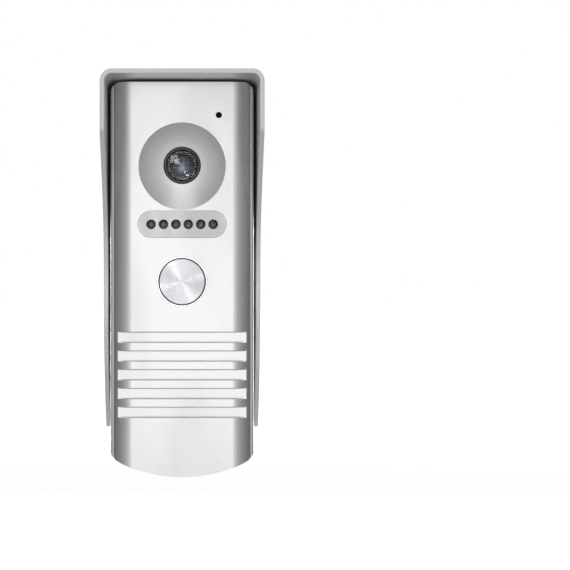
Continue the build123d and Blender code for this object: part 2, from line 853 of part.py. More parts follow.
with BuildPart() as front_lens:
    with BuildSketch(turning_plane(0, camera_height)):
        with BuildLine():
            crown = SagittaArc(
                (front_lens_radius, lens_front - front_lens_sink + front_lens_edge),
                (-front_lens_radius, lens_front - front_lens_sink + front_lens_edge),
                -front_lens_dome,
            )
            Polyline(
                crown @ 0,
                (front_lens_radius, lens_front - front_lens_sink),
                (-front_lens_radius, lens_front - front_lens_sink),
                crown @ 1,
            )
        make_face()
        split(bisect_by=Plane.YZ)
    revolve(axis=camera_axis)

with BuildPart() as rear_lens:
    with BuildSketch(at_depth(lens_back)):
        with Locations((0, camera_height)):
            Circle(lens_throat_radius)
    extrude(amount=rear_lens_thickness)

with BuildPart() as lens_holder:
    with BuildSketch(at_depth(camera_board_front)):
        with Locations((0, camera_height)):
            RectangleRounded(holder_width, holder_width, least_radius)
            Circle(lens_radius, mode=Mode.SUBTRACT)
    extrude(amount=holder_base)
    with BuildSketch(at_depth(camera_board_front + holder_base)):
        with Locations((0, camera_height)):
            Circle(lens_radius + holder_wall)
            Circle(lens_radius, mode=Mode.SUBTRACT)
    extrude(amount=holder_height - holder_base)

with BuildPart() as image_sensor:
    with BuildSketch(at_depth(camera_board_front)):
        with Locations((0, camera_height)):
            Rectangle(sensor_width, sensor_width)
    extrude(amount=sensor_thickness)

with BuildPart() as camera_board:
    with BuildSketch(at_depth(camera_board_back)):
        with Locations((0, camera_height)):
            RectangleRounded(*camera_board_size, least_radius)
        with Locations(*fixings["camera"]["places"]):
            Circle(fine_screw["shank"] + screw_clearance, mode=Mode.SUBTRACT)
    extrude(amount=camera_board_thickness)

with BuildPart() as camera_screws:
    add(screws_of(fixings["camera"]))

with BuildPart() as camera_connector:
    with BuildSketch(at_depth(board_front)):
        with Locations((0, camera_height - camera_connector_drop)):
            RectangleRounded(*camera_connector_size, least_radius / 2)
    extrude(amount=camera_connector_height)

# ---- Infra-red lamps ----
lamp_places = [(side, ir_height) for side in ir_sides]
lead_places = [(side + step * ir_lead_spacing, ir_height) for side in ir_sides for step in (-1, 1)]
pin_middle = (ir_pin_count - 1) / 2
pin_places = [(ir_header_side + (i - pin_middle) * ir_pin_pitch, ir_height) for i in range(ir_pin_count)]

with BuildPart() as ir_plate:
    with BuildSketch(at_depth(unit_front - ir_plate_sink - ir_plate_thickness)):
        with Locations((0, ir_height)):
            SlotOverall(ir_plate_length, ir_plate_width)
        with Locations(*lamp_places):
            Circle(ir_hole_radius, mode=Mode.SUBTRACT)
    extrude(amount=ir_plate_thickness)

with BuildPart() as ir_leds:
    with BuildSketch(at_depth(ir_lamp_back)):
        with Locations(*lamp_places):
            Circle(ir_flange_radius)
    extrude(amount=ir_flange_height)
    with BuildSketch(at_depth(ir_lamp_back)):
        with Locations(*lamp_places):
            Circle(ir_lamp_radius)
    extrude(amount=ir_lamp_height)
    fillet(ir_leds.faces().sort_by(Axis.Y)[:ir_count].edges(), ir_lamp_radius - running_fit)
    with BuildSketch(at_depth(ir_lamp_back)):
        with Locations(*lead_places):
            Rectangle(ir_lead_width, ir_lead_width)
    extrude(amount=-ir_lead_length)

with BuildPart() as ir_board:
    with BuildSketch(at_depth(ir_board_back)):
        with Locations((0, ir_height)):
            RectangleRounded(2 * (ir_screw_side + ir_board_overhang), ir_board_height, least_radius)
        with Locations(*fixings["ir"]["places"]):
            Circle(fine_screw["shank"] + screw_clearance, mode=Mode.SUBTRACT)
    extrude(amount=ir_board_thickness)

with BuildPart() as ir_screws:
    add(screws_of(fixings["ir"]))

with BuildPart() as ir_header:
    with BuildSketch(at_depth(board_front)):
        with Locations((ir_header_side, ir_height)):
            Rectangle(ir_pin_count * ir_pin_pitch, ir_pin_pitch)
    extrude(amount=ir_header_height)
    with BuildSketch(at_depth(board_front + ir_header_height)):
        with Locations(*pin_places):
            Rectangle(ir_pin_width, ir_pin_width)
    extrude(amount=ir_board_back - board_front - ir_header_height)

# ---- Microphone in its rubber boot ----
mic_front = wall_inside - boot_wall

with BuildPart() as mic_boot:
    with BuildSketch(at_depth(wall_inside - boot_length)):
        with Locations((mic_side, mic_height)):
            Circle(mic_radius + boot_wall)
            Circle(mic_radius, mode=Mode.SUBTRACT)
    extrude(amount=boot_length)
    with BuildSketch(at_depth(mic_front)):
        with Locations((mic_side, mic_height)):
            Circle(mic_radius)
            Circle(mic_hole_radius, mode=Mode.SUBTRACT)
    extrude(amount=boot_wall)

with BuildPart() as microphone:
    with BuildSketch(at_depth(mic_front - mic_thickness)):
        with Locations((mic_side, mic_height)):
            Circle(mic_radius)
    extrude(amount=mic_thickness)

# ---- Call button ----
with BuildPart() as button_ring:
    with BuildSketch(at_depth(wall_inside)):
        with Locations((0, button_height)):
            Circle(ring_outer)
            Circle(ring_inner, mode=Mode.SUBTRACT)
    extrude(amount=wall + button_ring_proud)
    fillet(button_ring.faces().sort_by(Axis.Y)[0].edges(), button_ring_edge)

with BuildPart() as button_cap:
    with BuildSketch(at_depth(button_back)):
        with Locations((0, button_height)):
            Circle(button_radius)
    extrude(amount=button_thickness)
    fillet(button_cap.faces().sort_by(Axis.Y)[0].edges(), button_edge_radius)

with BuildPart() as button_plunger:
    with BuildSketch(at_depth(flange_front)):
        with Locations((0, button_height)):
            Circle(neck_radius - seal_clearance)
    extrude(amount=button_back - flange_front)
    with BuildSketch(at_depth(flange_back)):
        with Locations((0, button_height)):
            Circle(flange_radius)
    extrude(amount=flange_thickness)
    with BuildSketch(at_depth(switch_tip + tip_gap)):
        with Locations((0, button_height)):
            Circle(stem_radius)
    extrude(amount=flange_back - switch_tip - tip_gap)

with BuildPart() as button_seal:
    with BuildSketch(at_depth(flange_front)):
        with Locations((0, button_height)):
            Circle(flange_radius + seal_margin)
            Circle(neck_radius, mode=Mode.SUBTRACT)
    extrude(amount=seal_thickness)

with BuildPart() as button_guide:
    with BuildSketch(at_depth(guide_back)):
        with Locations((0, button_height)):
            SlotOverall(2 * (guide_side + guide_end_margin), guide_height)
        with Locations(*fixings["guide"]["places"]):
            Circle(fine_screw["shank"] + screw_clearance, mode=Mode.SUBTRACT)
    extrude(amount=guide_thickness)
    with BuildSketch(at_depth(guide_back)):
        with Locations((0, button_height)):
            Circle(stem_radius + running_fit + guide_sleeve_wall)
    extrude(amount=-guide_sleeve_length)
    with BuildSketch(at_depth(guide_back - guide_sleeve_length)):
        with Locations((0, button_height)):
            Circle(stem_radius + running_fit)
    extrude(amount=guide_sleeve_length + guide_thickness, mode=Mode.SUBTRACT)

with BuildPart() as guide_screws:
    add(screws_of(fixings["guide"]))

with BuildPart() as button_spring:
    with BuildLine() as coil:
        rise = spring_length - 2 * spring_wire_radius
        Helix(
            rise / spring_turns,
            rise,
            spring_radius,
            center=(0, -guide_front - spring_wire_radius, button_height),
            direction=(0, -1, 0),
        )
    with BuildSketch(Plane(origin=coil.line @ 0, z_dir=coil.line % 0)):
        Circle(spring_wire_radius)
    sweep()

with BuildPart() as switch_body:
    with BuildSketch(at_depth(board_front)):
        with Locations((0, button_height)):
            RectangleRounded(switch_width, switch_width, least_radius / 2)
    extrude(amount=switch_thickness)
    with BuildSketch(at_depth(switch_top)):
        with Locations((0, button_height)):
            Circle(switch_stem_radius + running_fit)
    extrude(amount=-switch_stem_depth - button_travel - switch_well_spare, mode=Mode.SUBTRACT)

with BuildPart() as switch_stem:
    with BuildSketch(at_depth(switch_top - switch_stem_depth)):
        with Locations((0, button_height)):
            Circle(switch_stem_radius)
    extrude(amount=switch_stem_depth + switch_stem_proud)

# ---- Main board and what is soldered to it ----
mic_connector_height = board_top - mic_connector_drop - connector_size[1] / 2
speaker_connector_height = board_bottom + speaker_connector_rise + connector_size[1] / 2

with BuildPart() as main_board:
    with BuildSketch(at_depth(board_back)):
        with Locations((0, board_bottom)):
            board = Rectangle(2 * board_half_width, board_top - board_bottom, align=(Align.CENTER, Align.MIN))
        fillet(board.vertices(), board_corner_radius)
        with Locations(*fixings["board"]["places"]):
            Circle(fine_screw["shank"] + screw_clearance, mode=Mode.SUBTRACT)
    extrude(amount=board_thickness)

with BuildPart() as board_screws:
    add(screws_of(fixings["board"]))

with BuildPart() as board_chips:
    for place, size in chip_sizes.items():
        with BuildSketch(at_depth(board_back)):
            with Locations(place):
                Rectangle(*size)
        extrude(amount=-chip_height)

with BuildPart() as board_capacitors:
    for place, radius in capacitor_radii.items():
        with BuildSketch(at_depth(board_back)):
            with Locations(place):
                Circle(radius)
        extrude(amount=-capacitor_height)
    fillet(board_capacitors.faces().group_by(Axis.Y)[-1].edges(), capacitor_edge_radius)

with BuildPart() as wire_connectors:
    with BuildSketch(at_depth(board_front)):
        with Locations((mic_side, mic_connector_height), (0, speaker_connector_height)):
            Rectangle(*connector_size)
    extrude(amount=connector_height)

# ---- Terminals, reached from behind through the cover and the hood's cable hole ----
screw_row = [(side, terminal_row_offset) for side in terminal_sides]
entry_row = [(side, -terminal_row_offset) for side in terminal_sides]

with BuildPart() as terminal_block:
    with BuildSketch(at_depth(terminal_face)):
        Rectangle(terminal_width, terminal_height)
    extrude(amount=board_back - terminal_face)
    with BuildSketch(at_depth(terminal_face)):
        with Locations(*screw_row):
            Circle(terminal_screw_radius)
    extrude(amount=terminal_screw_sink + terminal_screw_length, mode=Mode.SUBTRACT)
    with BuildSketch(at_depth(terminal_face)):
        with Locations(*entry_row):
            Circle(terminal_entry_radius)
    extrude(amount=terminal_entry_depth, mode=Mode.SUBTRACT)

with BuildPart() as terminal_screws:
    with BuildSketch(at_depth(terminal_face + terminal_screw_sink)):
        with Locations(*screw_row):
            Circle(terminal_screw_radius)
    extrude(amount=terminal_screw_length)
    with BuildSketch(at_depth(terminal_face + terminal_screw_sink)):
        with Locations(*screw_row):
            Rectangle(2 * terminal_screw_radius, screw_slot_width)
    extrude(amount=screw_slot_depth, mode=Mode.SUBTRACT)

# ---- Volume trimmer and the plug over it ----
volume_back = board_back - volume_thickness
rotor_front = volume_back - running_fit

with BuildPart() as volume_body:
    with BuildSketch(at_depth(volume_back)):
        with Locations(volume_place):
            Rectangle(volume_width, volume_width)
    extrude(amount=volume_thickness)
    with BuildSketch(at_depth(volume_back)):
        with Locations(volume_place):
            Circle(volume_shaft_radius + running_fit)
    extrude(amount=volume_shaft_length + running_fit, mode=Mode.SUBTRACT)

with BuildPart() as volume_rotor:
    with BuildSketch(at_depth(rotor_front)):
        with Locations(volume_place):
            Circle(volume_rotor_radius)
    extrude(amount=-volume_rotor_thickness)
    with BuildSketch(at_depth(rotor_front)):
        with Locations(volume_place):
            Circle(volume_shaft_radius)
    extrude(amount=volume_shaft_length)
    with BuildSketch(at_depth(rotor_front - volume_rotor_thickness)):
        with Locations(volume_place):
            Rectangle(screw_slot_width, 2 * volume_rotor_radius * screw_slot_share)
    extrude(amount=screw_slot_depth, mode=Mode.SUBTRACT)

with BuildPart() as volume_plug:
    with BuildSketch(at_depth(cover_back)):
        with Locations(volume_place):
            Circle(plug_head_radius)
    extrude(amount=-plug_head_thickness)
    with BuildSketch(at_depth(cover_back)):
        with Locations(volume_place):
            Circle(volume_hole_radius)
    extrude(amount=cover_thickness)
    with BuildSketch(at_depth(cover_front)):
        with Locations(volume_place):
            Circle(plug_barb_radius)
    extrude(amount=plug_barb_length)

# ---- Speaker behind the grooves ----
speaker_axis = turning_axis(0, groove_middle)
film_front = speaker_flange_front + film
roll_middle = (cone_lip_outer + speaker_flange_inner) / 2
yoke_back = magnet_back - yoke_wall
hole_ring_radius = (yoke_radius + speaker_flange_inner) / 2
pad_height = groove_middle + pad_rise

with BuildPart() as speaker_cloth:
    with BuildSketch(at_depth(cloth_back)):
        with Locations((0, groove_middle)):
            Circle(cloth_radius)
    extrude(amount=film)

with BuildPart() as speaker_seal:
    with BuildSketch(at_depth(speaker_seal_back)):
        with Locations((0, groove_middle)):
            Circle(speaker_radius)
            Circle(speaker_seal_inner, mode=Mode.SUBTRACT)
    extrude(amount=speaker_seal_thickness)

with BuildPart() as speaker_basket:
    with BuildSketch(at_depth(speaker_flange_back)):
        with Locations((0, groove_middle)):
            Circle(speaker_radius)
            SlotOverall(2 * (speaker_ear_side + speaker_ear_radius), 2 * speaker_ear_radius)
            Circle(speaker_flange_inner, mode=Mode.SUBTRACT)
        with Locations(*fixings["speaker"]["places"]):
            Circle(fine_screw["shank"] + screw_clearance, mode=Mode.SUBTRACT)
    extrude(amount=speaker_flange_thickness)
    with BuildSketch(at_depth(basket_back)):
        with Locations((0, groove_middle)):
            Circle(speaker_flange_inner + speaker_wall)
            Circle(speaker_flange_inner, mode=Mode.SUBTRACT)
    extrude(amount=speaker_depth)
    with BuildSketch(at_depth(basket_back)):
        with Locations((0, groove_middle)):
            Circle(speaker_flange_inner)
            Circle(yoke_radius, mode=Mode.SUBTRACT)
            with PolarLocations(hole_ring_radius, basket_hole_count, start_angle=180 / basket_hole_count):
                Circle(basket_hole_radius, mode=Mode.SUBTRACT)
    extrude(amount=speaker_flange_thickness)
    with BuildSketch(at_depth(basket_back)):
        with Locations((0, pad_height)):
            Rectangle(*pad_size)
    extrude(amount=-pad_thickness)

with BuildPart() as speaker_surround:
    with BuildSketch(turning_plane(0, groove_middle)):
        with BuildLine():
            Polyline(
                (roll_middle + roll_radius, speaker_flange_front),
                (speaker_radius, speaker_flange_front),
                (speaker_radius, film_front),
                (roll_middle + roll_radius - film, film_front),
            )
            ThreePointArc(
                (roll_middle + roll_radius - film, film_front),
                (roll_middle, film_front - roll_radius + film),
                (roll_middle - roll_radius + film, film_front),
            )
            Polyline(
                (roll_middle - roll_radius + film, film_front),
                (cone_lip_inner, film_front),
                (cone_lip_inner, speaker_flange_front),
                (cone_lip_outer, speaker_flange_front),
            )
            ThreePointArc(
                (cone_lip_outer, speaker_flange_front),
                (roll_middle, speaker_flange_front - roll_radius),
                (roll_middle + roll_radius, speaker_flange_front),
            )
        make_face()
    revolve(axis=speaker_axis)

with BuildPart() as speaker_cone:
    with BuildSketch(turning_plane(0, groove_middle)):
        with BuildLine():
            SagittaArc((-cone_dome_radius, cone_back), (cone_dome_radius, cone_back), cone_dome_rise)
            Polyline(
                (cone_dome_radius, cone_back),
                (cone_neck, cone_back),
                (cone_lip_inner, speaker_flange_front - film),
                (cone_lip_outer, speaker_flange_front - film),
                (cone_lip_outer, speaker_flange_front),
                (cone_lip_inner, speaker_flange_front),
                (cone_neck, cone_back + film),
                (cone_dome_radius, cone_back + film),
            )
            SagittaArc(
                (cone_dome_radius, cone_back + film), (-cone_dome_radius, cone_back + film), -cone_dome_rise
            )
            Line((-cone_dome_radius, cone_back + film), (-cone_dome_radius, cone_back))
        make_face()
        split(bisect_by=Plane.YZ)
    revolve(axis=speaker_axis)

with BuildPart() as voice_coil:
    with BuildSketch(at_depth(cone_back)):
        with Locations((0, groove_middle)):
            Circle(coil_radius + coil_thickness)
            Circle(coil_radius, mode=Mode.SUBTRACT)
    extrude(amount=-coil_length)

with BuildPart() as pole_plate:
    with BuildSketch(at_depth(pole_back)):
        with Locations((0, groove_middle)):
            Circle(pole_radius)
    extrude(amount=pole_thickness)

with BuildPart() as speaker_magnet:
    with BuildSketch(at_depth(magnet_back)):
        with Locations((0, groove_middle)):
            Circle(pole_radius)
    extrude(amount=magnet_thickness)

with BuildPart() as speaker_yoke:
    with BuildSketch(at_depth(yoke_back)):
        with Locations((0, groove_middle)):
            Circle(yoke_radius)
    extrude(amount=pole_front - yoke_back)
    with BuildSketch(at_depth(magnet_back)):
        with Locations((0, groove_middle)):
            Circle(yoke_radius - yoke_wall)
    extrude(amount=pole_front - magnet_back, mode=Mode.SUBTRACT)

with BuildPart() as speaker_screws:
    add(screws_of(fixings["speaker"]))

# ---- Wires ----
wire_depth = board_front + connector_height / 2

with BuildPart() as mic_wires:
    add(
        wires_between(
            mic_side,
            [
                (mic_front - mic_thickness, mic_height),
                (wire_depth, mic_height),
                (wire_depth, mic_connector_height + connector_size[1] / 2),
            ],
        )
    )

with BuildPart() as speaker_wires:
    add(
        wires_between(
            0,
            [
                (wire_depth, speaker_connector_height - connector_size[1] / 2),
                (wire_depth, pad_height),
                (basket_back - pad_thickness, pad_height),
            ],
        )
    )

# ---- Every piece is written under its own name ----
pieces = {
    "rain_hood": rain_hood,
    "front_housing": front_housing,
    "rear_cover": rear_cover,
    "cover_gasket": cover_gasket,
    "cover_screws": cover_screws,
    "security_screw": security_screw,
    "camera_bezel": camera_bezel,
    "bezel_seal": bezel_seal,
    "bezel_retainer": bezel_retainer,
    "lens_ring": lens_ring,
    "window_seal": window_seal,
    "camera_window": camera_window,
    "lens_barrel": lens_barrel,
    "front_lens": front_lens,
    "rear_lens": rear_lens,
    "lens_holder": lens_holder,
    "image_sensor": image_sensor,
    "camera_board": camera_board,
    "camera_screws": camera_screws,
    "camera_connector": camera_connector,
    "ir_plate": ir_plate,
    "ir_leds": ir_leds,
    "ir_board": ir_board,
    "ir_screws": ir_screws,
    "ir_header": ir_header,
    "microphone": microphone,
    "mic_boot": mic_boot,
    "mic_wires": mic_wires,
    "button_ring": button_ring,
    "button_cap": button_cap,
    "button_plunger": button_plunger,
    "button_seal": button_seal,
    "button_spring": button_spring,
    "button_guide": button_guide,
    "guide_screws": guide_screws,
    "switch_body": switch_body,
    "switch_stem": switch_stem,
    "main_board": main_board,
    "board_screws": board_screws,
    "board_chips": board_chips,
    "board_capacitors": board_capacitors,
    "wire_connectors": wire_connectors,
    "terminal_block": terminal_block,
    "terminal_screws": terminal_screws,
    "volume_body": volume_body,
    "volume_rotor": volume_rotor,
    "volume_plug": volume_plug,
    "speaker_cloth": speaker_cloth,
    "speaker_seal": speaker_seal,
    "speaker_basket": speaker_basket,
    "speaker_surround": speaker_surround,
    "speaker_cone": speaker_cone,
    "voice_coil": voice_coil,
    "pole_plate": pole_plate,
    "speaker_magnet": speaker_magnet,
    "speaker_yoke": speaker_yoke,
    "speaker_screws": speaker_screws,
    "speaker_wires": speaker_wires,
}

os.makedirs("parts", exist_ok=True)
for name, piece in pieces.items():
    piece.part.label = name
    export_step(piece.part, f"parts/{name}.step")
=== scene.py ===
"""Finishes, small inner pieces, studio and camera for a video intercom door station under a rain hood.

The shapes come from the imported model. Every length is in metres, in the model's own frame: +X to the viewer's
right, +Y into the wall and +Z up, with the origin on the wall between the two wall screws.
"""

import math

import bmesh
import bpy
from bpy.props import FloatProperty, FloatVectorProperty, PointerProperty
from bpy.types import Operator, Panel, PropertyGroup
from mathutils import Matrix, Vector


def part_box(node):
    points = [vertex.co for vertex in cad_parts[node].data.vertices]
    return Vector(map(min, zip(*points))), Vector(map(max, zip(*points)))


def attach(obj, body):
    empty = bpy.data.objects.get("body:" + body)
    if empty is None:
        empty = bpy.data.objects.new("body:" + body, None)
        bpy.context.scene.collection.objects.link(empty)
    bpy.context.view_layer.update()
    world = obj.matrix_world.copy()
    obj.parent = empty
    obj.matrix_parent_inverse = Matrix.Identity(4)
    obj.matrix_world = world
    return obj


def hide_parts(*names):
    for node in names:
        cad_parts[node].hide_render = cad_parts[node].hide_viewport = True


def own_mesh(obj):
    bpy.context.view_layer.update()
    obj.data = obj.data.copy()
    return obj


bl_info = {
    "name": "Door Station Looks",
    "version": (1, 0, 0),
    "blender": (4, 5, 0),
    "location": "3D View > Sidebar > Door Station",
    "description": "Finishes, small inner pieces, studio and camera for a video intercom door station",
    "category": "Object",
}

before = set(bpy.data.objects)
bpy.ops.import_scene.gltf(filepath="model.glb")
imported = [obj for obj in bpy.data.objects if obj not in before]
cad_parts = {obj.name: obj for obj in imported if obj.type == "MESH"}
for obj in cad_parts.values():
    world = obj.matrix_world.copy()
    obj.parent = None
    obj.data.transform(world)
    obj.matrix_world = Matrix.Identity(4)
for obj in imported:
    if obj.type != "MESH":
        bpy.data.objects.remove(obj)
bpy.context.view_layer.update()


def middle_of(node):
    """The middle of a node's box."""
    low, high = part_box(node)
    return (low + high) / 2


# ---- Values a user would change ----


def colour(name, description, default):
    """A colour property."""
    return FloatVectorProperty(
        name=name, description=description, subtype="COLOR", size=3, min=0.0, max=1.0, default=default
    )


def length(name, description, default):
    """A length property."""
    return FloatProperty(
        name=name, description=description, unit="LENGTH", subtype="DISTANCE", precision=6, default=default
    )


def share(name, description, default):
    """A property that runs from none to all."""
    return FloatProperty(
        name=name, description=description, subtype="FACTOR", min=0.0, max=1.0, default=default
    )


def power(name, description, default):
    """A light's power."""
    return FloatProperty(name=name, description=description, unit="POWER", min=0.0, default=default)


class PaintSettings(PropertyGroup):
    """Painted and turned metal outside."""

    hood_color: colour("Hood paint", "Silver paint on the rain hood", (0.84, 0.84, 0.845))
    hood_roughness: share("Hood roughness", "How satin the hood's paint is", 0.42)
    hood_metallic: share("Hood metal share", "How much metal flake shows in the hood's paint", 0.35)
    housing_color: colour("Housing paint", "Silver paint on the front housing", (0.78, 0.78, 0.785))
    housing_roughness: share("Housing roughness", "How satin the housing's paint is", 0.34)
    housing_metallic: share("Housing metal share", "How much metal flake shows in the housing's paint", 0.80)
    # Painted light: this lower metal share on the housing's side walls makes them look brighter in a side view,
    # standing in for the studio's side lighting rather than for the paint's flakes
    painted_side_light_metallic: share("Side metal share", "How much metal flake shows on the housing's side walls", 0.25)
    bezel_color: colour("Bezel", "Turned metal around the lens", (0.78, 0.78, 0.785))
    bezel_roughness: share("Bezel roughness", "How satin the bezel is", 0.36)
    flake_size: length("Flake size", "Width of the flakes and of the paint's fine grain", 0.00035)
    flake_depth: length("Flake depth", "Height of the paint's fine grain", 0.000004)
    wear_width: length("Wear width", "How far rubbed paint reaches from an edge", 0.00025)


class MetalSettings(PropertyGroup):
    """Bare metal."""

    button_color: colour("Button", "Spun metal of the call button", (0.53, 0.54, 0.555))
    button_roughness: share("Button roughness", "How satin the spun face is", 0.30)
    button_travel: length("Button travel", "How far the call button goes in", 0.0006)
    button_rings: length("Ring spacing", "Distance between the turning marks on the call button", 0.00022)
    ring_color: colour("Button ring", "Polished ring around the call button", (0.72, 0.72, 0.74))
    cup_color: colour("Lamp cups", "Silvered cups inside the infra-red lamps", (0.66, 0.66, 0.68))
    cup_radius: length("Cup radius", "Radius of a lamp's cup", 0.00085)
    cup_depth: length("Cup depth", "Height of a lamp's cup", 0.0009)
    cup_sink: length("Cup sink", "From a lamp's tip back to its cup", 0.0019)
    cup_spacing: length("Cup spacing", "Distance between lamps", 0.00433)
    screw_color: colour("Screws", "Zinc-plated screws", (0.55, 0.55, 0.54))
    spring_color: colour("Spring", "Drawn spring wire", (0.48, 0.48, 0.50))
    plated_color: colour("Plated steel", "Plated speaker frame, yoke and pole plate", (0.56, 0.56, 0.54))
    magnet_color: colour("Magnet", "Nickel-plated magnet", (0.42, 0.42, 0.42))
    copper_color: colour("Copper", "Enamelled copper wire of the voice coil", (0.60, 0.24, 0.09))
    gold_color: colour("Pins", "Gold-plated pins", (0.80, 0.56, 0.20))
    can_color: colour("Cans", "Aluminium cans of the capacitors and the microphone", (0.62, 0.62, 0.64))


class PlasticSettings(PropertyGroup):
    """Plastics, rubber, cloth and paper."""

    cover_color: colour("Rear cover", "Moulded black rear cover", (0.020, 0.020, 0.022))
    black_color: colour(
        "Black trim", "Black lens ring, lens holder, chips and connectors", (0.010, 0.010, 0.011)
    )
    plate_color: colour("Lamp plate", "Light grey plate around the lamps", (0.62, 0.62, 0.625))
    lamp_color: colour("Lamps", "Smoked resin of the infra-red lamps", (0.11, 0.10, 0.105))
    seal_color: colour("Seals", "Black rubber seals", (0.012, 0.012, 0.012))
    white_color: colour("White plastic", "Plunger, guide, switch stem and trimmer rotor", (0.72, 0.72, 0.69))
    cream_color: colour("Connectors", "Cream wire connectors", (0.70, 0.66, 0.55))
    terminal_color: colour("Terminals", "Green terminal block", (0.015, 0.16, 0.05))
    trimmer_color: colour("Trimmer", "Blue body of the volume trimmer", (0.015, 0.05, 0.26))
    cloth_color: colour("Cloth", "Black speaker cloth", (0.020, 0.020, 0.022))
    cone_color: colour("Cone", "Dark pulp of the speaker cone", (0.030, 0.030, 0.032))
    film_thickness: length("Film", "Thickness of the speaker surround's rubber", 0.0003)
    roll_radius: length("Roll radius", "Radius of the surround's half-round roll", 0.00065)
    roll_middle: length("Roll middle", "From the speaker's axis to the middle of the roll", 0.01155)
    lip_radius: length("Lip radius", "From the speaker's axis to the surround's inner edge", 0.0103)
    wire_color: colour("Wires", "Red insulation", (0.42, 0.012, 0.010))
    die_color: colour("Sensor", "Dark glass over the image sensor", (0.02, 0.03, 0.05))


class GlassSettings(PropertyGroup):
    """Window, lenses and their barrel."""

    window_color: colour("Window", "Clear domed window", (0.97, 0.98, 1.0))
    lens_color: colour("Lens", "Tint of the lenses", (0.30, 0.30, 0.36))
    barrel_color: colour("Barrel", "Black anodising of the lens barrel", (0.03, 0.03, 0.032))


class BoardSettings(PropertyGroup):
    """Circuit boards."""

    mask_color: colour("Solder mask", "Green lacquer of the boards", (0.008, 0.085, 0.030))
    track_color: colour("Tracks", "Copper tracks under the lacquer", (0.020, 0.17, 0.055))
    track_width: length("Track width", "Width of a track and of the space beside it", 0.0012)


class StageSettings(PropertyGroup):
    """Studio, lights and camera."""

    camera_distance: length("Camera distance", "From the wall to the camera", 0.546)
    camera_height: length("Camera height", "Height of the camera above the model's origin", -0.0085)
    camera_lens: FloatProperty(name="Lens", description="Focal length", unit="CAMERA", default=92.7)
    camera_sensor: FloatProperty(name="Sensor", description="Sensor width", unit="CAMERA", default=36.0)
    shift_across: FloatProperty(name="Shift across", description="Sideways lens shift", default=0.1805)
    shift_up: FloatProperty(name="Shift up", description="Upwards lens shift", default=0.0067)
    floor_height: length("Floor height", "Height of the floor", -0.26)
    floor_width: length("Floor width", "Width of the floor", 60.0)
    floor_color: colour("Floor", "Pale floor", (0.80, 0.80, 0.80))
    floor_glow: share("Floor glow", "How much the floor lights itself near the object", 0.62)
    key_power: power("Key light", "Power of the large front light", 0.80)
    side_power: power("Side lights", "Power of each side light", 3.5)
    cheek_power: power("Cheek lights", "Power of each light on the hood's cheeks", 1.4)
    flank_power: power("Flank lights", "Power of each light on the unit's side walls", 12.0)
    back_power: power("Back light", "Power of the light behind", 5.0)
    top_power: power("Top light", "Power of the light above", 2.0)
    glint_power: power("Glint", "Power of the glints in the window", 0.22)
    strip_power: power("Strip lights", "Power of the strips that show the button's spun face", 0.50)
    wall_glow: share("Wall glow", "Brightness of the studio's wall in front of the object", 0.84)
    wall_fade: FloatProperty(
        name="Wall fade",
        description="Angle from the front over which the walls dim",
        subtype="ANGLE",
        default=0.92,
    )
    bounce: share("Bounce", "Brightness of the floor as the object sees it", 0.45)


# ---- Building shader trees ----


class Tree:
    """Adds nodes to a node tree, each joined to what feeds it."""

    def __init__(self, tree):
        self.tree = tree

    def add(self, kind, inputs=None, **settings):
        """A new node with these settings, its inputs set to values or joined to sockets."""
        node = self.tree.nodes.new(kind)
        for name, value in settings.items():
            setattr(node, name, value)
        for name, value in (inputs or {}).items():
            self.feed(node.inputs[name], value)
        return node

    def feed(self, socket, value):
        """Sets a socket to a value, or joins it to another socket."""
        if isinstance(value, bpy.types.NodeSocket):
            self.tree.links.new(value, socket)
        else:
            socket.default_value = value

    def maths(self, operation, *values, clamp=False):
        """The result of a Math node."""
        node = self.add("ShaderNodeMath", dict(enumerate(values)), operation=operation, use_clamp=clamp)
        return node.outputs[0]

    def vector(self, operation, *values):
        """The result of a Vector Math node that gives a vector."""
        node = self.add("ShaderNodeVectorMath", dict(enumerate(values)), operation=operation)
        return node.outputs[0]

    def dot(self, first, second):
        """The dot product of two vectors."""
        node = self.add("ShaderNodeVectorMath", {0: first, 1: second}, operation="DOT_PRODUCT")
        return node.outputs["Value"]

    def between(self, value, low, high, to_low=0.0, to_high=1.0):
        """A value moved smoothly from one range to another."""
        inputs = {"Value": value, "From Min": low, "From Max": high, "To Min": to_low, "To Max": to_high}
        return self.add("ShaderNodeMapRange", inputs, interpolation_type="SMOOTHSTEP").outputs[0]

    def mix(self, amount, first, second, blend="MIX"):
        """Two colours mixed."""
        node = self.add("ShaderNodeMix", data_type="RGBA", blend_type=blend)
        self.feed(node.inputs[0], amount)
        self.feed(node.inputs[6], first)
        self.feed(node.inputs[7], second)
        return node.outputs[2]

    def noise(self, vector, scale, detail=2.0, roughness=0.5):
        """A noise value around one half."""
        inputs = {"Vector": vector, "Scale": scale, "Detail": detail, "Roughness": roughness}
        return self.add("ShaderNodeTexNoise", inputs).outputs[0]

    def place(self):
        """The point being shaded, in the model's frame."""
        return self.add("ShaderNodeTexCoord").outputs["Object"]


def new_group(name, inputs, outputs):
    """A shader node group with its sockets, its tree builder, its input node and its output node."""
    group = bpy.data.node_groups.new(name, "ShaderNodeTree")
    for label, kind, default in inputs:
        socket = group.interface.new_socket(name=label, in_out="INPUT", socket_type=f"NodeSocket{kind}")
        socket.default_value = default
    for label in outputs:
        group.interface.new_socket(name=label, in_out="OUTPUT", socket_type="NodeSocketFloat")
    tree = Tree(group)
    return group, tree, tree.add("NodeGroupInput").outputs, tree.add("NodeGroupOutput").inputs


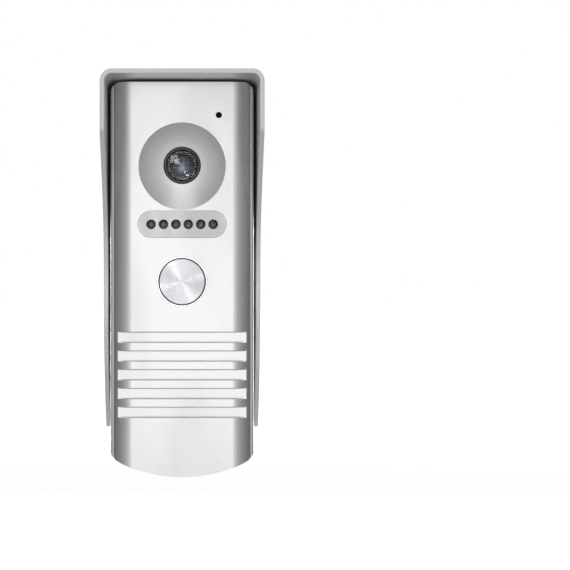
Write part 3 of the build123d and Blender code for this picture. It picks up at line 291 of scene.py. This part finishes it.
def fine_grain():
    """Even grain with flat flakes: a height for bump, and a tone from 0 to 1."""
    group, tree, given, gives = new_group("Fine grain", [("Size", "Float", 0.0003)], ["Height", "Tone"])
    density = tree.maths("DIVIDE", 1.0, given["Size"])
    point = tree.place()
    soft = tree.noise(point, density, 3.0)
    flakes = tree.add("ShaderNodeTexVoronoi", {"Vector": point, "Scale": density})
    tone = tree.dot(flakes.outputs["Color"], (0.4, 0.3, 0.3))
    tree.feed(gives["Height"], tree.maths("MULTIPLY_ADD", tone, 0.35, soft))
    tree.feed(gives["Tone"], tone)
    return group


def brushing():
    """Fine lines along one direction: a height for bump, and a tone from 0 to 1."""
    inputs = [("Size", "Float", 0.0002), ("Stretch", "Vector", (1.0, 0.04, 1.0))]
    group, tree, given, gives = new_group("Brushing", inputs, ["Height", "Tone"])
    density = tree.maths("DIVIDE", 1.0, given["Size"])
    point = tree.vector("MULTIPLY", tree.place(), given["Stretch"])
    lines = tree.noise(point, density, 4.0, 0.6)
    tree.feed(gives["Height"], lines)
    tree.feed(gives["Tone"], tree.between(lines, 0.3, 0.7))
    return group


def turning():
    """Rings left by a turning tool about an axis along Y: a height, a tone and the distance from the axis."""
    inputs = [("Centre", "Vector", (0.0, 0.0, 0.0)), ("Spacing", "Float", 0.0002)]
    group, tree, given, gives = new_group("Turning", inputs, ["Height", "Tone", "Radius"])
    offset = tree.vector("MULTIPLY", tree.vector("SUBTRACT", tree.place(), given["Centre"]), (1.0, 0.0, 1.0))
    radius = tree.add("ShaderNodeVectorMath", {0: offset}, operation="LENGTH").outputs["Value"]
    rings = tree.maths("DIVIDE", radius, given["Spacing"])
    wander = tree.add("ShaderNodeTexNoise", {"W": rings, "Scale": 1.0, "Detail": 3.0}, noise_dimensions="1D")
    wave = tree.maths("SINE", tree.maths("MULTIPLY", rings, 2.0 * math.pi))
    height = tree.maths("MULTIPLY_ADD", wave, 0.25, wander.outputs[0])
    tree.feed(gives["Height"], height)
    tree.feed(gives["Tone"], tree.between(wander.outputs[0], 0.3, 0.7))
    tree.feed(gives["Radius"], radius)
    return group


def edge_wear():
    """A mask of outer edges that hands and cloths have rubbed, broken up by noise."""
    inputs = [("Width", "Float", 0.0003), ("Amount", "Float", 0.5)]
    group, tree, given, gives = new_group("Edge wear", inputs, ["Mask"])
    normal = tree.add("ShaderNodeNewGeometry").outputs["Normal"]
    rounded = tree.add("ShaderNodeBevel", {"Radius": given["Width"]}, samples=4).outputs[0]
    turn = tree.between(tree.dot(rounded, normal), 0.995, 0.80)
    broken = tree.between(tree.noise(tree.place(), 900.0, 4.0, 0.65), 0.42, 0.62)
    tree.feed(gives["Mask"], tree.maths("MULTIPLY", tree.maths("MULTIPLY", turn, broken), given["Amount"]))
    return group


def handling():
    """Faint smears, and dust that settles on what faces up: two masks."""
    inputs = [("Size", "Float", 0.02), ("Dust", "Float", 0.5)]
    group, tree, given, gives = new_group("Handling", inputs, ["Smears", "Dust"])
    density = tree.maths("DIVIDE", 1.0, given["Size"])
    point = tree.place()
    smears = tree.noise(tree.vector("MULTIPLY", point, (1.0, 1.0, 0.45)), density, 5.0, 0.62)
    up = tree.dot(tree.add("ShaderNodeNewGeometry").outputs["Normal"], (0.0, 0.0, 1.0))
    specks = tree.between(tree.noise(point, 2200.0, 3.0, 0.7), 0.45, 0.7)
    dust = tree.maths("MULTIPLY", tree.between(up, 0.3, 1.0), specks)
    tree.feed(gives["Smears"], tree.between(smears, 0.42, 0.66))
    tree.feed(gives["Dust"], tree.maths("MULTIPLY", dust, given["Dust"]))
    return group


def weave():
    """A plain weave facing along Y: a height and a mask of the threads."""
    group, tree, given, gives = new_group("Weave", [("Thread", "Float", 0.0003)], ["Height", "Threads"])
    turns = tree.maths("DIVIDE", math.pi, given["Thread"])
    parts = tree.add("ShaderNodeSeparateXYZ", {0: tree.place()}).outputs
    across = tree.maths("SINE", tree.maths("MULTIPLY", parts["X"], turns))
    upward = tree.maths("SINE", tree.maths("MULTIPLY", parts["Z"], turns))
    over = tree.maths("MULTIPLY", across, upward)
    threads = tree.maths("MAXIMUM", tree.maths("ABSOLUTE", across), tree.maths("ABSOLUTE", upward))
    tree.feed(gives["Height"], tree.maths("MULTIPLY_ADD", over, 0.5, threads))
    tree.feed(gives["Threads"], tree.between(threads, 0.45, 0.9))
    return group


def tracks():
    """Printed tracks on a board that faces along Y: masks of the tracks and of the round pads."""
    group, tree, given, gives = new_group("Tracks", [("Width", "Float", 0.001)], ["Tracks", "Pads"])
    density = tree.maths("DIVIDE", 1.0, given["Width"])
    flat = tree.vector("MULTIPLY", tree.place(), (1.0, 0.0, 1.0))
    steps = tree.vector("SNAP", flat, (0.0052, 0.0052, 0.0052))
    bend = tree.noise(steps, 160.0, 1.0)
    parts = tree.add("ShaderNodeSeparateXYZ", {0: flat}).outputs
    turned = tree.maths("GREATER_THAN", bend, 0.5)
    along = tree.add("ShaderNodeMix", {0: turned, 2: parts["X"], 3: parts["Z"]}).outputs[0]
    lines = tree.maths("PINGPONG", tree.maths("MULTIPLY", along, density), 0.5)
    pads = tree.add("ShaderNodeTexVoronoi", {"Vector": flat, "Scale": 210.0, "Randomness": 0.55})
    tree.feed(gives["Tracks"], tree.between(lines, 0.22, 0.28))
    tree.feed(gives["Pads"], tree.between(pads.outputs["Distance"], 0.20, 0.16))
    return group


def winding():
    """Turns of wire wound about an axis along Y: a height, and a mask of the wire."""
    group, tree, given, gives = new_group("Winding", [("Wire", "Float", 0.0002)], ["Height", "Wire"])
    turns = tree.maths("DIVIDE", math.pi, given["Wire"])
    depth = tree.add("ShaderNodeSeparateXYZ", {0: tree.place()}).outputs["Y"]
    wire = tree.maths("ABSOLUTE", tree.maths("SINE", tree.maths("MULTIPLY", depth, turns)))
    tree.feed(gives["Height"], wire)
    tree.feed(gives["Wire"], tree.between(wire, 0.2, 0.7))
    return group


EFFECTS = {
    "Fine grain": fine_grain,
    "Brushing": brushing,
    "Turning": turning,
    "Edge wear": edge_wear,
    "Handling": handling,
    "Weave": weave,
    "Tracks": tracks,
    "Winding": winding,
}


class Finish(Tree):
    """A material whose Principled shader is fed step by step."""

    def __init__(self, name, base, roughness, metallic=0.0, **plain):
        """plain holds other shader sockets with one value all over, their names in lower case."""
        self.material = bpy.data.materials.new(name)
        self.material.use_nodes = True
        super().__init__(self.material.node_tree)
        self.shader = self.tree.nodes["Principled BSDF"]
        self.base = (*base, 1.0)
        self.roughness = roughness
        self.feed(self.shader.inputs["Base Color"], self.base)
        self.feed(self.shader.inputs["Roughness"], roughness)
        self.feed(self.shader.inputs["Metallic"], metallic)
        for label, value in plain.items():
            self.feed(self.shader.inputs[label.replace("_", " ").title().replace("Ior", "IOR")], value)

    def effect(self, name, **given):
        """The outputs of a shared effect placed in this material with its own values."""
        node = self.add("ShaderNodeGroup", node_tree=bpy.data.node_groups.get(name) or EFFECTS[name]())
        for label, value in given.items():
            self.feed(node.inputs[label.title()], value)
        return node.outputs

    def tint(self, amount, towards, blend="MIX"):
        """Mixes the base colour towards another where amount is high."""
        target = (*towards, 1.0) if len(towards) == 3 else towards
        self.base = self.mix(amount, self.base, target, blend)
        self.feed(self.shader.inputs["Base Color"], self.base)

    def shade(self, tone, spread):
        """Varies the base colour's brightness by a small share either way."""
        factor = self.maths("MULTIPLY_ADD", tone, 2.0 * spread, 1.0 - spread)
        grey = self.add("ShaderNodeCombineColor", {0: factor, 1: factor, 2: factor}).outputs[0]
        self.base = self.mix(1.0, self.base, grey, "MULTIPLY")
        self.feed(self.shader.inputs["Base Color"], self.base)

    def roughen(self, tone, spread):
        """Moves the roughness by a share of spread either way."""
        change = self.maths("SUBTRACT", tone, 0.5)
        self.roughness = self.maths("MULTIPLY_ADD", change, spread, self.roughness, clamp=True)
        self.feed(self.shader.inputs["Roughness"], self.roughness)

    def bump(self, height, distance, strength=1.0):
        """Adds a bump of a real height, on top of any before it."""
        before = self.shader.inputs["Normal"].links
        inputs = {"Height": height, "Distance": distance, "Strength": strength}
        if before:
            inputs["Normal"] = before[0].from_socket
        node = self.add("ShaderNodeBump", inputs)
        self.feed(self.shader.inputs["Normal"], node.outputs[0])


# ---- Finishes ----


def silver_paint(name, color, roughness, metallic, painted_side_light_metallic, paint):
    """Satin silver paint with flakes, grain, smears, dust and rubbed edges. Walls that face sideways in the
    model's frame take a lower metal share, which paints extra light on the side walls to stand in for this
    studio's side lighting; it is painted light, not a property of the paint itself."""
    finish = Finish(name, color, roughness, metallic, coat_weight=0.12, coat_roughness=0.25)
    # Painted light: walls facing along X get a lower metal share so they look brighter in a side view, standing
    # in for side lighting
    normal = finish.add("ShaderNodeNewGeometry").outputs["Normal"]
    sideways = finish.maths("ABSOLUTE", finish.dot(normal, (1.0, 0.0, 0.0)))
    metal_and_painted_side_light = finish.between(sideways, 0.90, 0.99, metallic, painted_side_light_metallic)
    finish.feed(finish.shader.inputs["Metallic"], metal_and_painted_side_light)
    grain = finish.effect("Fine grain", size=paint.flake_size)
    marks = finish.effect("Handling", size=0.03, dust=0.35)
    wear = finish.effect("Edge wear", width=paint.wear_width, amount=0.5)
    finish.shade(grain["Tone"], 0.035)
    finish.shade(marks["Smears"], 0.015)
    finish.tint(wear["Mask"], (0.86, 0.86, 0.87))
    finish.tint(marks["Dust"], (0.55, 0.54, 0.52))
    finish.roughen(grain["Tone"], 0.05)
    finish.roughen(marks["Smears"], 0.05)
    finish.bump(grain["Height"], paint.flake_depth)
    return finish.material


def turned_metal(name, color, roughness, node, spacing, anisotropy, depth):
    """Metal spun or turned about a node's own axis, which lies along Y."""
    finish = Finish(name, color, roughness, 1.0, anisotropic=anisotropy, anisotropic_rotation=0.25)
    rings = finish.effect("Turning", centre=middle_of(node), spacing=spacing)
    marks = finish.effect("Handling", size=0.008, dust=0.0)
    finish.shade(rings["Tone"], 0.05)
    finish.roughen(rings["Tone"], 0.08)
    finish.roughen(marks["Smears"], 0.05)
    finish.bump(rings["Height"], depth)
    radial = finish.add("ShaderNodeTangent", direction_type="RADIAL", axis="Y")
    finish.feed(finish.shader.inputs["Tangent"], radial.outputs[0])
    return finish.material


def plated_steel(name, color, roughness=0.32, stretch=(0.05, 1.0, 1.0)):
    """Plated or brushed steel with fine lines and a little edge wear."""
    finish = Finish(name, color, roughness, 1.0)
    lines = finish.effect("Brushing", size=0.00025, stretch=stretch)
    wear = finish.effect("Edge wear", width=0.00015, amount=0.7)
    finish.shade(lines["Tone"], 0.08)
    finish.roughen(lines["Tone"], 0.12)
    finish.tint(wear["Mask"], (0.85, 0.85, 0.85))
    finish.bump(lines["Height"], 0.000006)
    return finish.material


def moulded(name, color, roughness, grain=0.0005, depth=0.000012, metallic=0.0):
    """Moulded plastic or rubber with a fine spark-eroded grain and faint handling marks."""
    finish = Finish(name, color, roughness, metallic)
    surface = finish.effect("Fine grain", size=grain)
    marks = finish.effect("Handling", size=0.012, dust=0.25)
    finish.shade(surface["Tone"], 0.05)
    finish.shade(marks["Smears"], 0.04)
    finish.tint(marks["Dust"], (0.30, 0.29, 0.28))
    finish.roughen(marks["Smears"], 0.10)
    finish.bump(surface["Height"], depth)
    return finish.material


def clear_glass(name, color, ior, **plain):
    """Clear glass or resin with faint smears that only change its gloss."""
    finish = Finish(name, color, 0.02, transmission_weight=1.0, ior=ior, **plain)
    marks = finish.effect("Handling", size=0.004, dust=0.0)
    finish.roughen(marks["Smears"], 0.03)
    return finish.material


def lacquered_board(name, board):
    """A circuit board with tracks under green lacquer and tinned pads."""
    finish = Finish(name, board.mask_color, 0.34, coat_weight=0.5, coat_roughness=0.12)
    print_marks = finish.effect("Tracks", width=board.track_width)
    grain = finish.effect("Fine grain", size=0.0006)
    finish.tint(print_marks["Tracks"], board.track_color)
    finish.tint(print_marks["Pads"], (0.55, 0.55, 0.52))
    finish.shade(grain["Tone"], 0.04)
    finish.bump(print_marks["Tracks"], 0.00003)
    return finish.material


def woven_cloth(name, color):
    """Fine woven speaker cloth."""
    finish = Finish(name, color, 0.85, sheen_weight=0.3, sheen_roughness=0.5)
    cloth = finish.effect("Weave", thread=0.0004)
    finish.shade(cloth["Threads"], 0.5)
    finish.bump(cloth["Height"], 0.0001)
    return finish.material


def wound_wire(name, color):
    """Enamelled wire wound in close turns."""
    finish = Finish(name, color, 0.24, 1.0, coat_weight=0.6, coat_roughness=0.1)
    coil = finish.effect("Winding", wire=0.00018)
    finish.shade(coil["Wire"], 0.35)
    finish.bump(coil["Height"], 0.00006)
    return finish.material


def dress(material, *nodes):
    """Gives CAD nodes a material."""
    for node in nodes:
        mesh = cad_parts[node].data
        mesh.materials.clear()
        mesh.materials.append(material)


def new_piece(name, mesh, material, body="station"):
    """A Blender-made piece that rides on a body of the frame."""
    piece = bpy.data.objects.new(name, mesh)
    bpy.context.scene.collection.objects.link(piece)
    mesh.materials.append(material)
    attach(piece, body)
    return piece


def turned_rings(bm, centre, profile, segments):
    """Rings of vertices about an axis along Y, one for each (radius, y) point of a profile."""
    turns = [2.0 * math.pi * i / segments for i in range(segments)]
    rings = []
    for reach, y in profile:
        spots = [(centre.x + reach * math.cos(turn), centre.z + reach * math.sin(turn)) for turn in turns]
        rings.append([bm.verts.new((x, y, z)) for x, z in spots])
    return rings


def join_rings(bm, pairs):
    """Joins each pair of rings with smooth faces."""
    for first, second in pairs:
        for i in range(len(first)):
            bm.faces.new((first[i], first[i - 1], second[i - 1], second[i])).smooth = True


def turned_ring(bm, centre, profile, segments=96):
    """Adds a closed ring turned about an axis along Y. The profile's points go round its section."""
    rings = turned_rings(bm, centre, profile, segments)
    join_rings(bm, zip(rings, rings[1:] + rings[:1]))
    bmesh.ops.recalc_face_normals(bm, faces=bm.faces)


def roll_arc(middle, front, radius, begin, end, steps=8):
    """Points (radius, y) on a roll's arc, which bulges backwards between two angles."""
    turns = [begin + (end - begin) * i / steps for i in range(steps + 1)]
    return [(middle + radius * math.cos(turn), front + radius * math.sin(turn)) for turn in turns]


def mesh_of(name, bm):
    """A mesh made from a bmesh, which is then freed."""
    mesh = bpy.data.meshes.new(name)
    bm.to_mesh(mesh)
    bm.free()
    return mesh


def turned_cup(bm, mouth, radius, depth, segments=32):
    """Adds a cup turned about an axis along Y, whose mouth faces the viewer, with a raised seat inside."""
    profile = [
        (0.45 * radius, depth),
        (0.75 * radius, depth),
        (radius, 0.12 * depth),
        (radius, 0.0),
        (0.90 * radius, 0.0),
        (0.50 * radius, 0.80 * depth),
        (0.30 * radius, 0.80 * depth),
        (0.26 * radius, 0.62 * depth),
    ]
    rings = turned_rings(bm, mouth, [(reach, mouth.y + back) for reach, back in profile], segments)
    join_rings(bm, zip(rings, rings[1:]))
    bm.faces.new(rings[0])
    bm.faces.new(rings[-1])
    bmesh.ops.recalc_face_normals(bm, faces=bm.faces)


# ---- Pieces ----

LAMP_COUNT = 6
HALF_SLIT = 0.04  # radians on each side of the roll's crest, so that the cone's half clears the rim's


class DOORSTATION_OT_hood(Operator):
    """Paints the rain hood satin silver"""

    bl_idname = "doorstation.hood"
    bl_label = "Rain Hood"

    def execute(self, context):
        paint = context.scene.door_station_paint
        color, roughness, metallic = paint.hood_color, paint.hood_roughness, paint.hood_metallic
        finish = silver_paint("Hood paint", color, roughness, metallic, metallic, paint)
        dress(finish, "rain_hood")
        return {"FINISHED"}


class DOORSTATION_OT_housing(Operator):
    """Paints the front housing satin silver"""

    bl_idname = "doorstation.housing"
    bl_label = "Front Housing"

    def execute(self, context):
        paint = context.scene.door_station_paint
        color, roughness, metallic = paint.housing_color, paint.housing_roughness, paint.housing_metallic
        # The side walls' lower metal share paints light on the housing's sides
        finish = silver_paint("Housing paint", color, roughness, metallic, paint.painted_side_light_metallic, paint)
        dress(finish, "front_housing")
        return {"FINISHED"}


class DOORSTATION_OT_rear(Operator):
    """Finishes the rear cover, the plug over the volume trimmer and every rubber seal"""

    bl_idname = "doorstation.rear"
    bl_label = "Rear Cover and Seals"

    def execute(self, context):
        plastic = context.scene.door_station_plastic
        dress(moulded("Moulded cover", plastic.cover_color, 0.55, grain=0.0008, depth=0.00003), "rear_cover")
        rubber = moulded("Black rubber", plastic.seal_color, 0.72, grain=0.0006, depth=0.00002)
        dress(rubber, "cover_gasket", "volume_plug", "bezel_seal", "window_seal", "mic_boot")
        dress(rubber, "button_seal", "speaker_seal")
        return {"FINISHED"}


class DOORSTATION_OT_screws(Operator):
    """Gives every screw and the bezel's retainer their zinc plating"""

    bl_idname = "doorstation.screws"
    bl_label = "Screws"

    def execute(self, context):
        metal = context.scene.door_station_metal
        zinc = plated_steel("Zinc plate", metal.screw_color)
        dress(zinc, "cover_screws", "security_screw", "camera_screws", "ir_screws", "guide_screws")
        dress(zinc, "board_screws", "terminal_screws", "speaker_screws", "bezel_retainer")
        return {"FINISHED"}


class DOORSTATION_OT_camera(Operator):
    """Finishes the camera's bezel, lens ring, window, lenses and sensor"""

    bl_idname = "doorstation.camera"
    bl_label = "Camera"

    def execute(self, context):
        paint = context.scene.door_station_paint
        plastic = context.scene.door_station_plastic
        glass = context.scene.door_station_glass
        color, roughness = paint.bezel_color, paint.bezel_roughness
        marks = {"spacing": 0.0004, "anisotropy": 0.55, "depth": 0.000003}
        bezel = turned_metal("Turned bezel", color, roughness, "camera_bezel", **marks)
        dress(bezel, "camera_bezel")
        trim = moulded("Black trim", plastic.black_color, 0.28, grain=0.0004, depth=0.000004)
        dress(trim, "lens_ring", "lens_holder")
        dress(clear_glass("Clear window", glass.window_color, 1.49), "camera_window")
        coated = clear_glass("Coated lens", glass.lens_color, 1.62, specular_tint=(0.75, 0.80, 1.0, 1.0))
        dress(coated, "front_lens", "rear_lens")
        marks = {"spacing": 0.00035, "anisotropy": 0.3, "depth": 0.00002}
        anodised = turned_metal("Black anodising", glass.barrel_color, 0.38, "lens_barrel", **marks)
        dress(anodised, "lens_barrel")
        dress(moulded("Sensor", plastic.die_color, 0.15, grain=0.0003, depth=0.000002), "image_sensor")
        return {"FINISHED"}


class DOORSTATION_OT_lamps(Operator):
    """Finishes the infra-red lamps and their plate, and sets a small cup in each lamp"""

    bl_idname = "doorstation.lamps"
    bl_label = "Infra-red Lamps"

    def execute(self, context):
        plastic = context.scene.door_station_plastic
        metal = context.scene.door_station_metal
        plate = moulded("Lamp plate", plastic.plate_color, 0.36, grain=0.0004, depth=0.000006, metallic=0.7)
        dress(plate, "ir_plate")
        dress(clear_glass("Smoked resin", plastic.lamp_color, 1.54), "ir_leds")
        low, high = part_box("ir_leds")
        middle = (low + high) / 2
        cups = bmesh.new()
        for i in range(LAMP_COUNT):
            side = middle.x + (i - (LAMP_COUNT - 1) / 2) * metal.cup_spacing
            mouth = Vector((side, low.y + metal.cup_sink, middle.z))
            turned_cup(cups, mouth, metal.cup_radius, metal.cup_depth)
        silvered = plated_steel("Silvered cup", metal.cup_color, 0.30)
        new_piece("lamp_cups", mesh_of("lamp_cups", cups), silvered)
        dress(plated_steel("Gold pins", metal.gold_color, 0.25), "ir_header")
        return {"FINISHED"}


class DOORSTATION_OT_button(Operator):
    """Finishes the call button, its ring, plunger, spring, guide and switch"""

    bl_idname = "doorstation.button"
    bl_label = "Call Button"

    def execute(self, context):
        metal = context.scene.door_station_metal
        plastic = context.scene.door_station_plastic
        color, roughness, rings = metal.button_color, metal.button_roughness, metal.button_rings
        marks = {"spacing": rings, "anisotropy": 0.85, "depth": 0.0000008}
        spun = turned_metal("Spun button", color, roughness, "button_cap", **marks)
        dress(spun, "button_cap")
        dress(plated_steel("Bright ring", metal.ring_color, 0.16), "button_ring")
        white = moulded("White plastic", plastic.white_color, 0.42)
        dress(white, "button_plunger", "button_guide", "switch_stem", "volume_rotor")
        wire = plated_steel("Spring wire", metal.spring_color, 0.26)
        coils = new_piece("return_spring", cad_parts["button_spring"].data.copy(), wire)
        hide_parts("button_spring")
        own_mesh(coils)
        return {"FINISHED"}


class DOORSTATION_OT_boards(Operator):
    """Finishes the circuit boards and everything soldered to them"""

    bl_idname = "doorstation.boards"
    bl_label = "Circuit Boards"

    def execute(self, context):
        plastic = context.scene.door_station_plastic
        metal = context.scene.door_station_metal
        board = lacquered_board("Lacquered board", context.scene.door_station_board)
        dress(board, "main_board", "camera_board", "ir_board")
        resin = moulded("Chip resin", plastic.black_color, 0.50, grain=0.0003, depth=0.00001)
        dress(resin, "board_chips", "switch_body", "camera_connector")
        dress(plated_steel("Aluminium can", metal.can_color, 0.30), "board_capacitors")
        dress(moulded("Cream plastic", plastic.cream_color, 0.45), "wire_connectors")
        dress(moulded("Green plastic", plastic.terminal_color, 0.42), "terminal_block")
        dress(moulded("Blue plastic", plastic.trimmer_color, 0.40), "volume_body")
        insulation = moulded("Wire insulation", plastic.wire_color, 0.40, grain=0.0006, depth=0.000008)
        dress(insulation, "mic_wires", "speaker_wires")
        return {"FINISHED"}


class DOORSTATION_OT_speaker(Operator):
    """Finishes the speaker behind the grooves"""

    bl_idname = "doorstation.speaker"
    bl_label = "Speaker"

    def execute(self, context):
        plastic = context.scene.door_station_plastic
        metal = context.scene.door_station_metal
        dress(woven_cloth("Speaker cloth", plastic.cloth_color), "speaker_cloth", "microphone")
        dress(moulded("Pulp cone", plastic.cone_color, 0.80, grain=0.0007, depth=0.00005), "speaker_cone")
        dress(wound_wire("Wound copper", metal.copper_color), "voice_coil")
        plated = plated_steel("Plated steel", metal.plated_color)
        dress(plated, "speaker_basket", "speaker_yoke", "pole_plate")
        dress(plated_steel("Nickel plate", metal.magnet_color, 0.22), "speaker_magnet")
        low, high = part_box("speaker_surround")
        middle = (low + high) / 2
        film, roll, crest = plastic.film_thickness, plastic.roll_radius, plastic.roll_middle
        back = low.y + film
        rubber = moulded("Surround rubber", plastic.seal_color, 0.62, grain=0.0006, depth=0.00001)
        for name, body, foot, begin, end in (
            ("surround_rim", "station", high.x - middle.x, 0.0, math.pi / 2 - HALF_SLIT),
            ("surround_lip", "speaker_cone", plastic.lip_radius, math.pi, math.pi / 2 + HALF_SLIT),
        ):
            outside = roll_arc(crest, back, roll, begin, end)
            inside = roll_arc(crest, low.y, roll - film, end, begin)
            ring = bmesh.new()
            turned_ring(ring, middle, [(foot, low.y), (foot, back), *outside, *inside])
            piece = new_piece(name, mesh_of(name, ring), rubber, body)
            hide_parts("speaker_surround")
        return {"FINISHED"}


# ---- Stage ----


def softbox(name, place, size, power, target=(0.0, 0.0, 0.0), receivers=()):
    """A rectangular light that faces the target. Receivers, if any, are the only nodes it lights."""
    data = bpy.data.lights.new(name, "AREA")
    data.shape = "RECTANGLE"
    data.size, data.size_y = size
    data.energy = power
    light = bpy.data.objects.new(name, data)
    light.location = place
    light.rotation_euler = (Vector(target) - Vector(place)).to_track_quat("-Z", "Y").to_euler()
    bpy.context.scene.collection.objects.link(light)
    if receivers:
        lit = bpy.data.collections.new(f"{name} receivers")
        for node in receivers:
            lit.objects.link(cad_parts[node])
        light.light_linking.receiver_collection = lit


def pale_paper(stage):
    """Pale paper that brightens with distance until it meets the white room."""
    paper = Finish("Pale paper", stage.floor_color, 0.9, emission_color=(1.0, 1.0, 1.0, 1.0))
    distance = paper.add("ShaderNodeVectorMath", {0: paper.place()}, operation="LENGTH").outputs["Value"]
    glow = paper.between(distance, 0.3, 3.0, stage.floor_glow, 1.0)
    paper.feed(paper.shader.inputs["Emission Strength"], glow)
    paper.bump(paper.effect("Fine grain", size=0.004)["Height"], 0.0001)
    return paper.material


def studio_world(stage):
    """White to the eye. To the object, walls that glow in front and dim to the sides, and a pale floor."""
    world = bpy.data.worlds.new("Studio")
    world.use_nodes = True
    tree = Tree(world.node_tree)
    output = world.node_tree.nodes["World Output"]
    seen = world.node_tree.nodes["Background"]
    tree.feed(seen.inputs["Color"], (1.0, 1.0, 1.0, 1.0))
    direction = tree.add("ShaderNodeTexCoord").outputs["Generated"]
    off_front = tree.maths("ARCCOSINE", tree.dot(direction, (0.0, -1.0, 0.0)))
    fade = tree.maths("EXPONENT", tree.maths("DIVIDE", off_front, -stage.wall_fade))
    below = tree.between(tree.dot(direction, (0.0, 0.0, -1.0)), 0.3, 0.9, 0.0, stage.bounce)
    strength = tree.maths("MAXIMUM", tree.maths("MULTIPLY", fade, stage.wall_glow), below)
    walls = tree.add("ShaderNodeBackground", {"Color": (1.0, 1.0, 1.0, 1.0), "Strength": strength})
    eye = tree.add("ShaderNodeLightPath").outputs["Is Camera Ray"]
    mixed = tree.add("ShaderNodeMixShader", {0: eye, 1: walls.outputs[0], 2: seen.outputs[0]})
    tree.feed(output.inputs["Surface"], mixed.outputs[0])
    bpy.context.scene.world = world


class DOORSTATION_OT_stage(Operator):
    """Builds the pale floor, the studio lights, the white room and the camera"""

    bl_idname = "doorstation.stage"
    bl_label = "Stage"

    def execute(self, context):
        stage = context.scene.door_station_stage
        studio_world(stage)
        half = stage.floor_width / 2
        mesh = bpy.data.meshes.new("Floor")
        corners = [(-half, -half), (half, -half), (half, half), (-half, half)]
        mesh.from_pydata([(x, y, stage.floor_height) for x, y in corners], [], [(0, 1, 2, 3)])
        mesh.materials.append(pale_paper(stage))
        floor = bpy.data.objects.new("Floor", mesh)
        floor.visible_diffuse = False
        floor.visible_glossy = False
        context.scene.collection.objects.link(floor)
        softbox("Front light", (0.0, -1.05, 0.0), (0.35, 0.55), stage.key_power)
        for side in (-1, 1):
            softbox("Side light", (0.85 * side, 0.10, 0.80), (0.6, 0.6), stage.side_power)
            cheek = (1.05 * side, 0.10, 0.20)
            softbox("Cheek light", cheek, (0.7, 0.7), stage.cheek_power, receivers=["rain_hood"])
            flank = (0.60 * side, 0.90, 0.10)
            softbox("Flank light", flank, (0.4, 0.7), stage.flank_power, receivers=["front_housing"])
        softbox("Back light", (0.0, 1.10, 0.30), (0.9, 0.9), stage.back_power)
        softbox("Top light", (0.0, -0.15, 1.0), (0.6, 0.6), stage.top_power)
        softbox("Low light", (0.0, -0.80, -0.56), (0.5, 0.25), stage.key_power / 2)
        window = middle_of("camera_window")
        for across in (-0.34, -0.20):
            for up in (0.20, 0.34):
                pane = window + Vector((across, -0.5, up))
                softbox("Pane", pane, (0.12, 0.12), stage.glint_power, window, ["camera_window"])
        glint = window + Vector((0.17, -0.5, -0.27))
        softbox("Glint", glint, (0.10, 0.06), stage.glint_power, window, ["camera_window"])
        button = middle_of("button_cap")
        for across, up in ((-0.29, -0.08), (-0.15, 0.26)):
            strip = button + Vector((across, -0.5, up))
            softbox("Strip light", strip, (0.10, 0.10), stage.strip_power, button, ["button_cap"])
        data = bpy.data.cameras.new("Camera")
        data.lens = stage.camera_lens
        data.sensor_width = stage.camera_sensor
        data.shift_x, data.shift_y = stage.shift_across, stage.shift_up
        data.clip_start, data.clip_end = 0.01, 20.0
        camera = bpy.data.objects.new("Camera", data)
        camera.location = (0.0, -stage.camera_distance, stage.camera_height)
        camera.rotation_euler = (math.radians(90.0), 0.0, 0.0)
        context.scene.collection.objects.link(camera)
        context.scene.camera = camera
        context.scene.view_settings.view_transform = "Standard"
        return {"FINISHED"}


class DOORSTATION_PT_panel(Panel):
    """Lists the door station's operators and settings"""

    bl_idname = "DOORSTATION_PT_panel"
    bl_label = "Door Station"
    bl_space_type = "VIEW_3D"
    bl_region_type = "UI"
    bl_category = "Door Station"

    def draw(self, context):
        for operator in OPERATORS:
            self.layout.operator(operator.bl_idname)
        for pointer in SETTINGS:
            settings = getattr(context.scene, pointer)
            box = self.layout.box()
            for name in settings.bl_rna.properties.keys():
                if name not in ("rna_type", "name"):
                    box.prop(settings, name)


OPERATORS = (
    DOORSTATION_OT_hood,
    DOORSTATION_OT_housing,
    DOORSTATION_OT_rear,
    DOORSTATION_OT_screws,
    DOORSTATION_OT_camera,
    DOORSTATION_OT_lamps,
    DOORSTATION_OT_button,
    DOORSTATION_OT_boards,
    DOORSTATION_OT_speaker,
    DOORSTATION_OT_stage,
)
SETTINGS = {
    "door_station_paint": PaintSettings,
    "door_station_metal": MetalSettings,
    "door_station_plastic": PlasticSettings,
    "door_station_glass": GlassSettings,
    "door_station_board": BoardSettings,
    "door_station_stage": StageSettings,
}


def register():
    """Registers the settings, the operators and the panel."""
    for pointer, group in SETTINGS.items():
        bpy.utils.register_class(group)
        setattr(bpy.types.Scene, pointer, PointerProperty(type=group))
    for each in (*OPERATORS, DOORSTATION_PT_panel):
        bpy.utils.register_class(each)


def unregister():
    """Takes the settings, the operators and the panel away again."""
    for each in reversed((*OPERATORS, DOORSTATION_PT_panel)):
        bpy.utils.unregister_class(each)
    for pointer, group in reversed(SETTINGS.items()):
        delattr(bpy.types.Scene, pointer)
        bpy.utils.unregister_class(group)


def main():
    """Builds everything in order."""
    register()
    bpy.ops.doorstation.hood()
    bpy.ops.doorstation.housing()
    bpy.ops.doorstation.rear()
    bpy.ops.doorstation.screws()
    bpy.ops.doorstation.camera()
    bpy.ops.doorstation.lamps()
    bpy.ops.doorstation.button()
    bpy.ops.doorstation.boards()
    bpy.ops.doorstation.speaker()
    bpy.ops.doorstation.stage()


if __name__ == "__main__":
    main()
